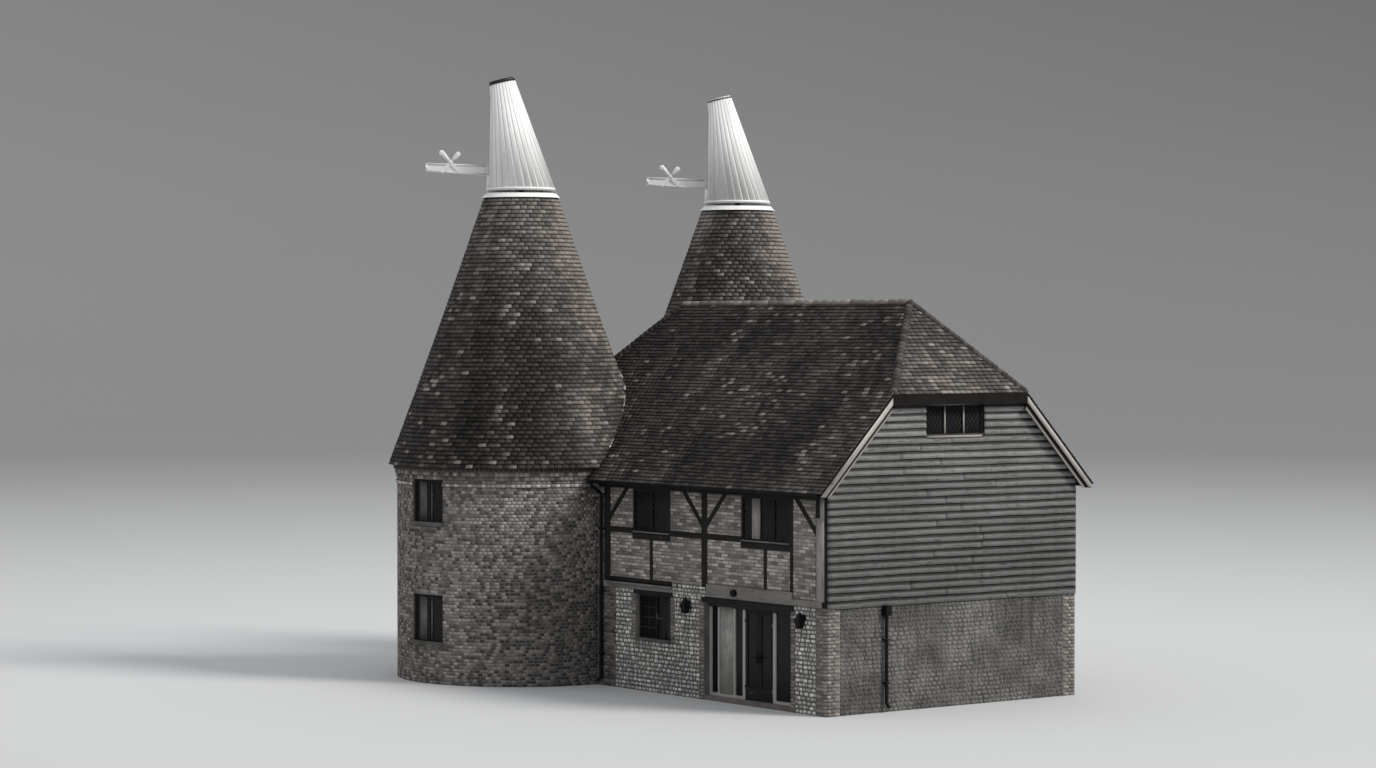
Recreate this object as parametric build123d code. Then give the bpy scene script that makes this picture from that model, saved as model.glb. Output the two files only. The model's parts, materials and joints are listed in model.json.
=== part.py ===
from build123d import *
import math
import os

os.makedirs("parts", exist_ok=True)

# An oast house: two round kilns with turning cowls at one end of a two-storey barn.
# Millimetres. +X runs along the barn towards its boarded gable, +Y to the back, +Z up.
# The origin is at ground level under the middle of the barn.

# Barn plan; places along the barn are given in bays, an eighth of its length
BARN_LENGTH = 8000
BAY = BARN_LENGTH / 8
BARN_DEPTH = 7000
STONE_WALL = 350
FRAME_DEPTH = 130
GABLE_THICKNESS = 150

# Barn levels
FLOOR_TOP = 100
BRESSUMMER_BOTTOM = 2230
BRESSUMMER_TOP = 2360
BRESSUMMER_PROUD = 25
BRESSUMMER_DEPTH = 150
DOOR_BEAM_TOP = 2500
PLATE_BOTTOM = 4450
ATTIC_FLOOR = 150

# Barn roof: the eave edge is the lowest line of the tiles
EAVE_Z = 4600
EAVE_OVERHANG = 360
ROOF_PITCH = 45.75
ROOF_THICKNESS = 150
VERGE_OVERHANG = 210
HALF_HIP_EAVE_Z = 6617
HALF_HIP_PITCH = 49.6
KILN_HIP_PAST_KILN = 1760
KILN_HIP_PITCH = 50.9
BARGE_DEPTH = 210
BARGE_THICKNESS = 32
BARGE_INSET = 30
BARGE_DROP = 45
BARGE_FOOT_DROP = 80
FASCIA_DEPTH = 140
RIDGE_CAP_RADIUS = 65
RIDGE_CAP_DROP = 30
RIDGE_KNOB_RADIUS = 75

# Kilns: how far each stands clear of the barn's end and of the other, and their cones' ring levels
DRUM_RADIUS = 2850
KILN_A_FROM_BARN = 50
KILN_B_FROM_BARN = 100
BETWEEN_KILNS = 670
KILNS_MIDDLE_Y = -435
RING_A_Z = 10980
RING_B_Z = 10820
LOWER_WALL = 350
UPPER_WALL = 230
DRYING_FLOOR_TOP = 2900
DRYING_FLOOR_THICKNESS = 150
DRUM_TOP = 4873
STRING_Z = 4440
STRING_HEIGHT = 75
STRING_PROUD = 28
CORBEL_Z = 4590
CORBEL_STEPS = 3
CORBEL_STEP_PROUD = 28
SEGMENTS = 12
CONE_OVERHANG = 190
CONE_EAVE_RADIUS = DRUM_RADIUS + CONE_OVERHANG
CONE_RING_RADIUS = 850
CONE_HOLLOW = 30
CONE_THICKNESS = 150
CONE_FOOT_INSET = 210
CONE_FOOT_RADIUS = DRUM_RADIUS - CONE_FOOT_INSET
KILN_WINDOW_HEADING = 83
KILN_DOOR_HEADING = 37
CURB_HEIGHT = 100
CURB_FOOT_RADIUS = 905
CURB_TOP_RADIUS = 815
CURB_BORE_RADIUS = 690
BEAM_DEPTH = 200
BEAM_WIDTH = 180
BEAM_DROP = 120
POST_RADIUS = 60
PIN_RADIUS = 25
PIN_LENGTH = 60

# Cowls, in heights above the cowl's foot; the finger points along the cowl's own -X
COWL_GAP = 62
COWL_FOOT_RADIUS = 790
COWL_TOP_RADIUS = 250
COWL_TOP_OFFSET = 450
COWL_WALL = 25
COWL_TOP_SLOPE = 13.7
COWL_TOP_HEIGHT = 2530
COWL_LOFT_PAST = 173
COWL_CONE_HEIGHT = COWL_TOP_HEIGHT + COWL_LOFT_PAST
MOUTH_BOTTOM = 350
MOUTH_HEAD_DROP = 330
MOUTH_TOP = COWL_TOP_HEIGHT - MOUTH_HEAD_DROP
MOUTH_FOOT_HALF = 270
MOUTH_HEAD_HALF = 120
CAP_THICKNESS = 30
CAP_PROUD = 35
BAR_HEIGHT = 150
BAR_WIDTH = 100
COLLAR_RADIUS = 115
BRACKET_Z = 1250
BRACKET_HEIGHT = 150
BRACKET_WIDTH = 90
FINGER_THICKNESS = 50
FINGER_LENGTH = 2200
FINGER_ROOT_X = 95
FINGER_ROOT_DEPTH = 225
FINGER_TIP_DEPTH = 207
FINGER_TIP_RISE = 95
FINGER_KNEE_X = 725
ORNAMENT_X = 1620
ORNAMENT_Z = 660
ORNAMENT_REACH = 310
ORNAMENT_BAR = 80
ORNAMENT_THICKNESS = 22
ORNAMENT_LEAN = 47
FINGER_HEADING = 234.76

# Doorways and windows of the kilns, cut square through the round walls
KILN_WINDOW_WIDTH = 1030
KILN_WINDOWS = ((870, 1130), (3560, 1030))
KILN_DOOR_WIDTH = 900
KILN_DOORS = ((FLOOR_TOP, 1950), (DRYING_FLOOR_TOP, 1540))
KILN_SILL_HEIGHT = 70
KILN_SILL_PROUD = 45
WINDOW_SETBACK = 90

# Joinery
FRAME_BAR = 55
FRAME_THICKNESS = 70
MULLION = 50
GLASS_THICKNESS = 12
SILL_HEIGHT = 50
SILL_PROUD = 60
SCREEN_SETBACK = 140
SCREEN_THICKNESS = 80
SCREEN_BAR = 70
SCREEN_POST = 90
SCREEN_RAIL = 60
SCREEN_BARS_X = (0.165 * BAY, 0.713 * BAY)
LEAF_THICKNESS = 45
LEAF_STILE = 85
LEAF_FOOT_RAIL = 260
LEAF_GAP = 5
HINGE_RADIUS = 9
HINGE_PIN_RADIUS = 4
HINGE_HEIGHT = 45
HINGE_OUT = 10
HINGE_PLATE = 4
HINGE_REACH = 45
HINGE_FROM_END = 220
UPPER_SETBACK = 20

# Small clearances, and how far a cut runs past the faces it goes through
SEAT_GAP = 0.3
WALL_GAP = 1
CUT_PAST = 10

# Timber frame of the upper storey
CORNER_POST = 220
LEFT_POST_INSET = 200
CENTRE_POST = 195
CENTRE_POST_X = -0.235 * BAY
STUD = 95
RAIL = 125
RAIL_TOP = 3580
SILL_BEAM = 150
BRACE = 110
BRACE_RISE = 740
BRACE_CLEAR = 45
INFILL_SETBACK = 15
INFILL_THICKNESS = 100

# Front openings, as (left, right, sill, head)
UPPER_WINDOW_1 = (-2.74 * BAY, -1.36 * BAY, 3490, PLATE_BOTTOM)
UPPER_WINDOW_2 = (1.13 * BAY, 2.79 * BAY, 3490, PLATE_BOTTOM)
LOWER_WINDOW = (-2.6 * BAY, -1.33 * BAY, 1120, 2130)
BACK_WINDOW = (1.33 * BAY, 2.6 * BAY, 1120, 2130)
GLAZED_OPENING = (-0.13 * BAY, 2.83 * BAY, FLOOR_TOP, 2100)
GABLE_WINDOW = (-825, 830, 5700, 6400)
DOOR_POSTS_X = (1.025 * BAY, 2.055 * BAY)
LINTEL_BEARING = 100

# Fittings
GUTTER_RADIUS = 60
GUTTER_WALL = 8
PIPE_RADIUS = 38
PIPE_NECK = 60
PIPE_SWAN = 190
PIPE_SHOE = 90
PIPE_SHOE_Z = 200
PIPE_BEND = 50
GUTTER_START = 90
GUTTER_INSET = 20
GABLE_PIPE_Y = -1960
GABLE_PIPE_BOX = (170, 140, 210)
LANTERN_SIZE = (180, 180, 330)
LANTERN_PLATE = 20
LANTERN_OUT = 40
LANTERN_FOOT = 0.6
LANTERN_WAIST = 0.9
LANTERN_TIP = 0.2
LANTERN_PLACES = ((-0.645 * BAY, 2000), (3.27 * BAY, 1950))
FRONT_LAMP = (0.955 * BAY, 75)

# How far the barn's walls, and the roof's rough body, run on before they are cut
DRUM_REACH = 300
ROOF_MARGIN = 500

# Worked-out places
GABLE_X = BARN_LENGTH / 2
FRONT_Y = -BARN_DEPTH / 2
BACK_Y = BARN_DEPTH / 2
EAVE_Y = FRONT_Y - EAVE_OVERHANG
VERGE_X = GABLE_X + VERGE_OVERHANG
SLOPE = math.tan(math.radians(ROOF_PITCH))
RIDGE_Z = EAVE_Z - EAVE_Y * SLOPE
KILN_A_X = -GABLE_X - KILN_A_FROM_BARN - DRUM_RADIUS
KILN_B_X = -GABLE_X - KILN_B_FROM_BARN - DRUM_RADIUS
KILN_STEP_Y = DRUM_RADIUS + BETWEEN_KILNS / 2
KILN_HIP_EAVE_X = KILN_A_X - KILN_HIP_PAST_KILN
LEFT_POST_X = LEFT_POST_INSET - GABLE_X
RIGHT_POST_X = GABLE_X - GABLE_THICKNESS - CORNER_POST
BRACE_RUN = RIGHT_POST_X - UPPER_WINDOW_2[1] - STUD - BRACE_CLEAR


class Kiln:
    """One kiln: its name, plan centre, cone ring level, and which way its windows and doorways face."""

    def __init__(self, name, x, y, ring_z, side):
        self.name = name
        self.x = x
        self.y = y
        self.ring_z = ring_z
        self.side = side
        self.window_heading = side * KILN_WINDOW_HEADING
        self.door_heading = -side * KILN_DOOR_HEADING
        self.cowl_z = ring_z + CURB_HEIGHT + COWL_GAP

    def place(self, shape, heading=0, z=0):
        """Turn a shape made about the Z axis to a heading and set it on this kiln's axis."""
        return Pos(self.x, self.y, z) * Rot(0, 0, heading) * shape


KILNS = (
    Kiln("a", KILN_A_X, KILNS_MIDDLE_Y - KILN_STEP_Y, RING_A_Z, -1),
    Kiln("b", KILN_B_X, KILNS_MIDDLE_Y + KILN_STEP_Y, RING_B_Z, 1),
)


def write(node, *solids):
    """Write one sub-part; solids that belong together share its file."""
    parts = []
    for solid in solids:
        parts.extend(solid.solids())
    export_step(Compound(children=parts), f"parts/{node}.step")


def block(x0, x1, y0, y1, z0, z1):
    """A square block between two corners."""
    return Pos(x0, y0, z0) * Box(x1 - x0, y1 - y0, z1 - z0, align=(Align.MIN, Align.MIN, Align.MIN))


def turned(points):
    """A solid of revolution about Z from a closed outline of (radius, height) points."""
    return revolve(Plane.XZ * make_face(Polyline(*points, close=True)), Axis.Z)


def upright(points, y, thickness):
    """A flat board from (x, z) points, standing across Y, from y towards the back."""
    outline = Plane((0, y, 0), x_dir=(1, 0, 0), z_dir=(0, -1, 0)) * make_face(Polyline(*points, close=True))
    return extrude(outline, -thickness)


def crosswise(points, x, thickness):
    """A flat board from (y, z) points, standing across X, from x towards the kilns."""
    outline = Plane((x, 0, 0), x_dir=(0, 1, 0), z_dir=(1, 0, 0)) * make_face(Polyline(*points, close=True))
    return extrude(outline, -thickness)


def standing(radius, height, z=0):
    """A cylinder standing on a level."""
    return Pos(0, 0, z) * Cylinder(radius, height, align=(Align.CENTER, Align.CENTER, Align.MIN))


def both_sides(shape):
    """A front piece and its copy at the back of the barn."""
    return [shape, mirror(shape, about=Plane.XZ)]


def below(shape, plane):
    """What is left of a shape under a plane."""
    return split(shape, bisect_by=plane, keep=Keep.BOTTOM)


# Kilns

def drum_outline(gap=0, solid=False):
    """The round wall's half section, with string course, stepped corbel and a ledge for the floor."""
    outer = DRUM_RADIUS + gap
    points = [(outer, 0), (outer, STRING_Z - gap), (outer + STRING_PROUD, STRING_Z - gap)]
    string_top = STRING_Z + STRING_HEIGHT + gap
    points += [(outer + STRING_PROUD, string_top), (outer, string_top)]
    step = (DRUM_TOP - CORBEL_Z) / CORBEL_STEPS
    for course in range(CORBEL_STEPS):
        foot = CORBEL_Z + course * step - gap
        points.append((outer + course * CORBEL_STEP_PROUD, foot))
        points.append((outer + (course + 1) * CORBEL_STEP_PROUD, foot))
    points.append((outer + CORBEL_STEPS * CORBEL_STEP_PROUD, DRUM_TOP))
    if solid:
        return points + [(0, DRUM_TOP), (0, 0)]
    ledge = DRYING_FLOOR_TOP - DRYING_FLOOR_THICKNESS
    points += [(DRUM_RADIUS - UPPER_WALL, DRUM_TOP), (DRUM_RADIUS - UPPER_WALL, ledge)]
    return points + [(DRUM_RADIUS - LOWER_WALL, ledge), (DRUM_RADIUS - LOWER_WALL, 0)]


def cone_outline(kiln, grow=0, solid=False):
    """The roof's half section: a slightly hollow slope over a thick foot that sits on the wall's head."""
    eave = (CONE_EAVE_RADIUS + grow, DRUM_TOP)
    ring = (CONE_RING_RADIUS + grow, kiln.ring_z)
    middle = ((eave[0] + ring[0]) / 2 - CONE_HOLLOW, (eave[1] + ring[1]) / 2)
    slope = ThreePointArc(eave, middle, ring)
    if solid:
        inner = [ring, (0, kiln.ring_z), (0, DRUM_TOP), eave]
    else:
        fall = (ring[1] - eave[1]) / (eave[0] - ring[0])
        run = CONE_THICKNESS * math.hypot(1, 1 / fall)
        shoulder = DRUM_TOP + (eave[0] - run - CONE_FOOT_RADIUS) * fall
        inner = [ring, (CONE_RING_RADIUS - run, kiln.ring_z), (CONE_FOOT_RADIUS, shoulder)]
        inner += [(CONE_FOOT_RADIUS, DRUM_TOP), eave]
    return make_face(Curve() + [slope, Polyline(*inner)])


def cone_solid(kiln, grow=0, solid=False):
    return kiln.place(revolve(Plane.XZ * cone_outline(kiln, grow, solid), Axis.Z))


def kiln_envelope(kiln):
    """All that a kiln takes up, with the small gap that the barn keeps from it."""
    drum = kiln.place(turned(drum_outline(WALL_GAP, solid=True)))
    return drum + cone_solid(kiln, WALL_GAP, solid=True)


def radial_cut(kiln, heading, width, z, height):
    """A square hole through the round wall, with its length along a heading."""
    inner = DRUM_RADIUS - 2 * LOWER_WALL
    outer = DRUM_RADIUS + LOWER_WALL
    return kiln.place(block(inner, outer, -width / 2, width / 2, z, z + height), heading)


def kiln_walls():
    """Both round walls in segments; every other segment goes to the second list."""
    sets = [[], []]
    arc = 360 / SEGMENTS
    outline = Plane.XZ * make_face(Polyline(*drum_outline(), close=True))
    for kiln in KILNS:
        cuts = []
        for z, height in KILN_WINDOWS:
            cuts.append(radial_cut(kiln, kiln.window_heading, KILN_WINDOW_WIDTH, z, height))
        for z, height in KILN_DOORS:
            cuts.append(radial_cut(kiln, kiln.door_heading, KILN_DOOR_WIDTH, z, height))
        doorway = round((kiln.door_heading - kiln.window_heading) / arc) % SEGMENTS
        for index in range(SEGMENTS):
            segment = Rot(0, 0, -arc / 2) * revolve(outline, Axis.Z, revolution_arc=arc)
            segment = kiln.place(segment, kiln.window_heading + index * arc)
            if index in (0, doorway):
                segment = segment - cuts
            sets[index % 2].append(segment)
    return sets


def kiln_window(kiln, z, height):
    """A two-light window set back in the round wall, with its glass and sill."""
    outer = DRUM_RADIUS - WINDOW_SETBACK
    half = KILN_WINDOW_WIDTH / 2 - SEAT_GAP
    frame = block(outer - FRAME_THICKNESS, outer, -half, half, z + SEAT_GAP, z + height - SEAT_GAP)
    glass = []
    light = half - FRAME_BAR - MULLION / 2
    for side in (-1, 1):
        middle = side * (MULLION + light) / 2
        low = z + FRAME_BAR
        high = z + height - FRAME_BAR
        left = middle - light / 2
        right = middle + light / 2
        frame -= block(outer - 2 * FRAME_THICKNESS, outer + CUT_PAST, left, right, low, high)
        inset = outer - (FRAME_THICKNESS + GLASS_THICKNESS) / 2
        glass.append(block(inset, inset + GLASS_THICKNESS, left, right, low, high))
    sill = block(outer, DRUM_RADIUS + KILN_SILL_PROUD, -half, half, z + SEAT_GAP, z + KILN_SILL_HEIGHT)
    turn = kiln.window_heading
    return kiln.place(frame, turn), [kiln.place(g, turn) for g in glass], kiln.place(sill, turn)


def cowl_beam(kiln):
    """The cross beam in the neck of the cone, with the fixed post that the cowl turns on."""
    top = kiln.ring_z - BEAM_DROP
    reach = 2 * CONE_RING_RADIUS
    beam = block(-reach, reach, -BEAM_WIDTH / 2, BEAM_WIDTH / 2, top - BEAM_DEPTH, top)
    neck = cone_solid(kiln, 0, solid=True) - cone_solid(kiln)
    beam = kiln.place(beam, FINGER_HEADING) & neck
    shoulder = kiln.cowl_z + BRACKET_Z - SEAT_GAP
    post = standing(POST_RADIUS, shoulder - top, top) + standing(PIN_RADIUS, PIN_LENGTH, shoulder)
    return beam + kiln.place(post)


# Cowls, made about their own turning axis with the foot at height 0

def skew_cone(inset=0):
    """An oblique cone between the foot circle and the smaller top circle."""
    foot = Circle(COWL_FOOT_RADIUS - inset)
    top = Pos(-COWL_TOP_OFFSET, 0, COWL_CONE_HEIGHT) * Circle(COWL_TOP_RADIUS - inset)
    return loft([foot.face(), top.face()], ruled=True)


def top_plane():
    """The slanting plane that closes the cowl, lower on the finger's side."""
    return Plane((-COWL_TOP_OFFSET, 0, COWL_TOP_HEIGHT)).rotated((0, -COWL_TOP_SLOPE, 0))


def cowl_pieces():
    """Shell, frame, cap, finger and ornament of one cowl."""
    inner = skew_cone(COWL_WALL)
    shell = below(skew_cone() - inner, top_plane())
    mouth = [(-MOUTH_FOOT_HALF, MOUTH_BOTTOM), (MOUTH_FOOT_HALF, MOUTH_BOTTOM)]
    mouth += [(MOUTH_HEAD_HALF, MOUTH_TOP), (-MOUTH_HEAD_HALF, MOUTH_TOP)]
    shell -= crosswise(mouth, -COWL_TOP_OFFSET, COWL_FOOT_RADIUS)

    reach = COWL_FOOT_RADIUS
    bar_foot = MOUTH_BOTTOM - BAR_HEIGHT
    bar = block(-reach, reach, -BAR_WIDTH / 2, BAR_WIDTH / 2, bar_foot, MOUTH_BOTTOM)
    bar += standing(COLLAR_RADIUS, BAR_HEIGHT, bar_foot)
    bar = (bar & inner) - Cylinder(POST_RADIUS + SEAT_GAP, COWL_CONE_HEIGHT)
    bracket_top = BRACKET_Z + BRACKET_HEIGHT
    bracket = block(-BRACKET_WIDTH / 2, BRACKET_WIDTH / 2, -reach, reach, BRACKET_Z, bracket_top)
    socket = Pos(0, 0, BRACKET_Z) * Cylinder(PIN_RADIUS + SEAT_GAP, 2 * (PIN_LENGTH + SEAT_GAP))
    bracket = (bracket & inner) - socket

    cap = extrude(top_plane() * Circle(COWL_TOP_RADIUS + CAP_PROUD), CAP_THICKNESS)

    finger = [(-FINGER_ROOT_X, MOUTH_BOTTOM), (-FINGER_KNEE_X, MOUTH_BOTTOM)]
    finger += [(-FINGER_LENGTH, MOUTH_BOTTOM + FINGER_TIP_RISE)]
    finger += [(-FINGER_LENGTH, MOUTH_BOTTOM + FINGER_TIP_RISE + FINGER_TIP_DEPTH)]
    finger += [(-FINGER_ROOT_X, MOUTH_BOTTOM + FINGER_ROOT_DEPTH)]
    board = upright(finger, -FINGER_THICKNESS / 2, FINGER_THICKNESS)

    arm = Box(2 * ORNAMENT_REACH, ORNAMENT_THICKNESS, ORNAMENT_BAR)
    ornament = Rot(0, ORNAMENT_LEAN, 0) * arm + Rot(0, -ORNAMENT_LEAN, 0) * arm
    ornament = Pos(-ORNAMENT_X, -(FINGER_THICKNESS + ORNAMENT_THICKNESS) / 2, ORNAMENT_Z) * ornament
    pieces = {"shell": [shell], "frame": [bar, bracket], "cap": [cap]}
    pieces["finger"] = [board]
    pieces["ornament"] = [ornament]
    return pieces


# Barn roof

def slope_plane(lift=0):
    """The front slope's tile surface, raised or lowered square to itself."""
    return Plane((0, EAVE_Y, EAVE_Z)).rotated((ROOF_PITCH, 0, 0)).offset(lift)


def back_plane(lift=0):
    return Plane((0, -EAVE_Y, EAVE_Z)).rotated((-ROOF_PITCH, 0, 0)).offset(lift)


def half_hip_plane(lift=0):
    return Plane((VERGE_X, 0, HALF_HIP_EAVE_Z)).rotated((0, HALF_HIP_PITCH, 0)).offset(lift)


def kiln_hip_plane(lift=0):
    return Plane((KILN_HIP_EAVE_X, 0, EAVE_Z)).rotated((0, -KILN_HIP_PITCH, 0)).offset(lift)


def roof_body(lift):
    """All that lies under the four slopes, with the slopes moved square to themselves by lift."""
    side = EAVE_Y - ROOF_MARGIN
    body = block(KILN_HIP_EAVE_X - ROOF_MARGIN, VERGE_X, side, -side, 0, RIDGE_Z + ROOF_MARGIN)
    for plane in (slope_plane(lift), back_plane(lift), half_hip_plane(lift), kiln_hip_plane(lift)):
        body = below(body, plane)
    return body


def mitre(first, second, other_side):
    """The plane through the line where two slopes meet, and through the same line one thickness lower."""
    lines = []
    for lift in (0, -ROOF_THICKNESS):
        a = first(lift)
        b = second(lift)
        lines.append(meeting_points(a, b))
    start, end = lines[0]
    lower = lines[1][0]
    along = (end - start).normalized()
    normal = along.cross(lower - start).normalized()
    plane = Plane(start, x_dir=along, z_dir=normal)
    toward = Vector(*other_side) - Vector(start)
    return plane if toward.dot(normal) > 0 else Plane(start, x_dir=along, z_dir=-normal)


def meeting_points(a, b):
    """Two points on the line where two planes meet, at the eave's level and the ridge's."""
    found = []
    for z in (EAVE_Z, RIDGE_Z):
        na = a.z_dir
        nb = b.z_dir
        da = na.dot(a.origin) - na.Z * z
        db = nb.dot(b.origin) - nb.Z * z
        det = na.X * nb.Y - na.Y * nb.X
        found.append(Vector((da * nb.Y - db * na.Y) / det, (na.X * db - nb.X * da) / det, z))
    return found


def hip_point(a, b, z):
    """Where the line between two slopes passes a level."""
    low, high = meeting_points(a, b)
    return low + (high - low) * ((z - EAVE_Z) / (RIDGE_Z - EAVE_Z))


RIGHT_HIP_TOP = hip_point(slope_plane(), half_hip_plane(), RIDGE_Z)
LEFT_HIP_TOP = hip_point(slope_plane(), kiln_hip_plane(), RIDGE_Z)
RIGHT_HIP_FOOT = hip_point(slope_plane(), half_hip_plane(), HALF_HIP_EAVE_Z)


def barn_roof(kilns):
    """Front, back, half-hip and kiln-side slopes, mitred on the hips and cut round the kilns."""
    shell = roof_body(0) - roof_body(-ROOF_THICKNESS)
    shell = split(shell, bisect_by=Plane((0, 0, EAVE_Z)), keep=Keep.TOP)
    shell = shell - kilns
    front_side = (0, EAVE_Y * 2, RIDGE_Z)
    right = mitre(slope_plane, half_hip_plane, front_side)
    left = mitre(slope_plane, kiln_hip_plane, front_side)
    front = split(shell, bisect_by=Plane.XZ, keep=Keep.TOP)
    front = split(front, bisect_by=right, keep=Keep.TOP)
    front = split(front, bisect_by=left, keep=Keep.TOP)
    right_mirror = mirrored_plane(right)
    left_mirror = mirrored_plane(left)
    back = split(shell, bisect_by=Plane.XZ, keep=Keep.BOTTOM)
    back = split(back, bisect_by=right_mirror, keep=Keep.TOP)
    back = split(back, bisect_by=left_mirror, keep=Keep.TOP)
    half_hip = split(shell, bisect_by=right, keep=Keep.BOTTOM)
    half_hip = split(half_hip, bisect_by=right_mirror, keep=Keep.BOTTOM)
    kiln_hip = split(shell, bisect_by=left, keep=Keep.BOTTOM)
    kiln_hip = split(kiln_hip, bisect_by=left_mirror, keep=Keep.BOTTOM)
    return front, back, half_hip, kiln_hip


def mirrored_plane(plane):
    """The same plane at the back of the barn."""
    origin = Vector(plane.origin.X, -plane.origin.Y, plane.origin.Z)
    x_dir = Vector(plane.x_dir.X, -plane.x_dir.Y, plane.x_dir.Z)
    z_dir = Vector(plane.z_dir.X, -plane.z_dir.Y, plane.z_dir.Z)
    return Plane(origin, x_dir=x_dir, z_dir=z_dir)


def under_roof():
    """The space under the slopes, down to the ground."""
    return roof_body(-ROOF_THICKNESS)


def ridge_caps(kilns):
    """Round capping bedded along the ridge and the four hips."""
    drop = Vector(0, 0, -RIDGE_CAP_DROP)
    left = Vector(LEFT_HIP_TOP.X, 0, RIDGE_Z) + drop
    right = Vector(RIGHT_HIP_TOP.X, 0, RIDGE_Z) + drop
    left_foot = hip_point(slope_plane(), kiln_hip_plane(), EAVE_Z) + drop
    lines = [(left, right)]
    for side in (1, -1):
        lines.append((left, Vector(left_foot.X, left_foot.Y * side, left_foot.Z)))
        lines.append((right, Vector(RIGHT_HIP_FOOT.X, RIGHT_HIP_FOOT.Y * side, RIGHT_HIP_FOOT.Z) + drop))
    roof = roof_body(0)
    caps = (Pos(left) * Sphere(RIDGE_KNOB_RADIUS) + Pos(right) * Sphere(RIDGE_KNOB_RADIUS)) - roof
    for start, end in lines:
        caps += roll(start, end) - roof - kilns
    return below(caps, Plane((VERGE_X, 0, 0), z_dir=(1, 0, 0)))


def roll(start, end):
    """A round bar between two points."""
    along = end - start
    return Plane(start, z_dir=along) * standing(RIDGE_CAP_RADIUS, along.length)


def barge_boards():
    """The painted boards along both verges, joined by the fascia under the half-hip."""
    fall = 1 / math.cos(math.radians(ROOF_PITCH))
    corner_y = RIGHT_HIP_FOOT.Y
    face = VERGE_X - BARGE_INSET
    foot = EAVE_Z - BARGE_FOOT_DROP

    def line(y, down):
        return EAVE_Z + (y - EAVE_Y) * SLOPE - down * fall

    start = EAVE_Y + BARGE_INSET
    lower = BARGE_DROP + BARGE_DEPTH
    lower_start = EAVE_Y + (foot - EAVE_Z + lower * fall) / SLOPE
    rake = [(start, line(start, BARGE_DROP)), (corner_y, line(corner_y, BARGE_DROP))]
    rake += [(corner_y, line(corner_y, lower)), (lower_start, foot), (start, foot)]
    boards = crosswise(rake, face, BARGE_THICKNESS)
    boards += mirror(boards, about=Plane.XZ)
    top = line(corner_y, BARGE_DROP)
    return boards + block(face - BARGE_THICKNESS, face, corner_y, -corner_y, top - FASCIA_DEPTH, top)


# Barn walls and floors

def opening(span):
    """A square hole through the front wall, from (left, right, sill, head)."""
    y0 = FRONT_Y - CUT_PAST
    y1 = FRONT_Y + STONE_WALL + CUT_PAST
    return block(span[0], span[1], y0, y1, span[2], span[3])


def lintel(span):
    """The beam over an opening, borne on the wall at both ends."""
    left = span[0] - LINTEL_BEARING
    right = span[1] + LINTEL_BEARING
    return block(left, right, FRONT_Y, FRONT_Y + STONE_WALL, span[3], BRESSUMMER_BOTTOM)


def at_back(shape):
    return mirror(shape, about=Plane.XZ)


def stone_walls(kilns):
    """Ground storey: front wall, corner pier, gable's foot and back wall, and their lintels."""
    reach = -GABLE_X - DRUM_REACH
    door_left, door_right = GLAZED_OPENING[:2]
    front_lintels = [lintel(LOWER_WINDOW), lintel(GLAZED_OPENING)]
    back_lintels = [at_back(lintel(LOWER_WINDOW)), at_back(lintel(BACK_WINDOW))]
    front = block(reach, door_left, FRONT_Y, FRONT_Y + STONE_WALL, 0, BRESSUMMER_BOTTOM)
    front = front - opening(LOWER_WINDOW) - front_lintels - kilns
    pier = block(door_right, GABLE_X, FRONT_Y, FRONT_Y + STONE_WALL, 0, BRESSUMMER_BOTTOM) - front_lintels
    inner = BACK_Y - STONE_WALL
    foot = block(GABLE_X - STONE_WALL, GABLE_X, -inner, inner, 0, BRESSUMMER_BOTTOM)
    back = block(reach, GABLE_X, BACK_Y - STONE_WALL, BACK_Y, 0, BRESSUMMER_BOTTOM)
    back = back - at_back(opening(LOWER_WINDOW)) - at_back(opening(BACK_WINDOW)) - back_lintels - kilns
    return front, pier, foot, back, front_lintels + back_lintels


def link_wall(kilns, attic):
    """The short brick wall that closes the gap between the two round walls."""
    outer = KILN_HIP_EAVE_X + EAVE_OVERHANG
    wall = block(outer, outer + UPPER_WALL, KILNS[0].y, KILNS[1].y, 0, RIDGE_Z)
    return (wall & attic) - kilns


def floors(kilns):
    """Ground, upper and attic floors, with the kilns' own round floors."""
    west = KILN_HIP_EAVE_X + EAVE_OVERHANG + UPPER_WALL
    ground = block(west, GABLE_X - STONE_WALL, FRONT_Y + STONE_WALL, BACK_Y - STONE_WALL, 0, FLOOR_TOP)
    ground += block(GLAZED_OPENING[0], GLAZED_OPENING[1], FRONT_Y, FRONT_Y + STONE_WALL, 0, FLOOR_TOP)
    ground = [ground - kilns]
    east = GABLE_X - GABLE_THICKNESS
    inner = BACK_Y - BRESSUMMER_DEPTH
    upper = [block(west, east, -inner, inner, BRESSUMMER_BOTTOM, BRESSUMMER_TOP) - kilns]
    for kiln in KILNS:
        ground.append(kiln.place(standing(DRUM_RADIUS - LOWER_WALL - SEAT_GAP, FLOOR_TOP)))
        disc = standing(DRUM_RADIUS - UPPER_WALL - SEAT_GAP, DRYING_FLOOR_THICKNESS)
        upper.append(kiln.place(disc, 0, DRYING_FLOOR_TOP - DRYING_FLOOR_THICKNESS))
    inner = BACK_Y - FRAME_DEPTH
    attic = block(west, east, -inner, inner, PLATE_BOTTOM, PLATE_BOTTOM + ATTIC_FLOOR)
    return ground, upper, attic - kilns


def timber(x0, x1, z0, z1):
    """One squared timber of the front frame."""
    return block(x0, x1, FRONT_Y, FRONT_Y + FRAME_DEPTH, z0, z1)


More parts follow.
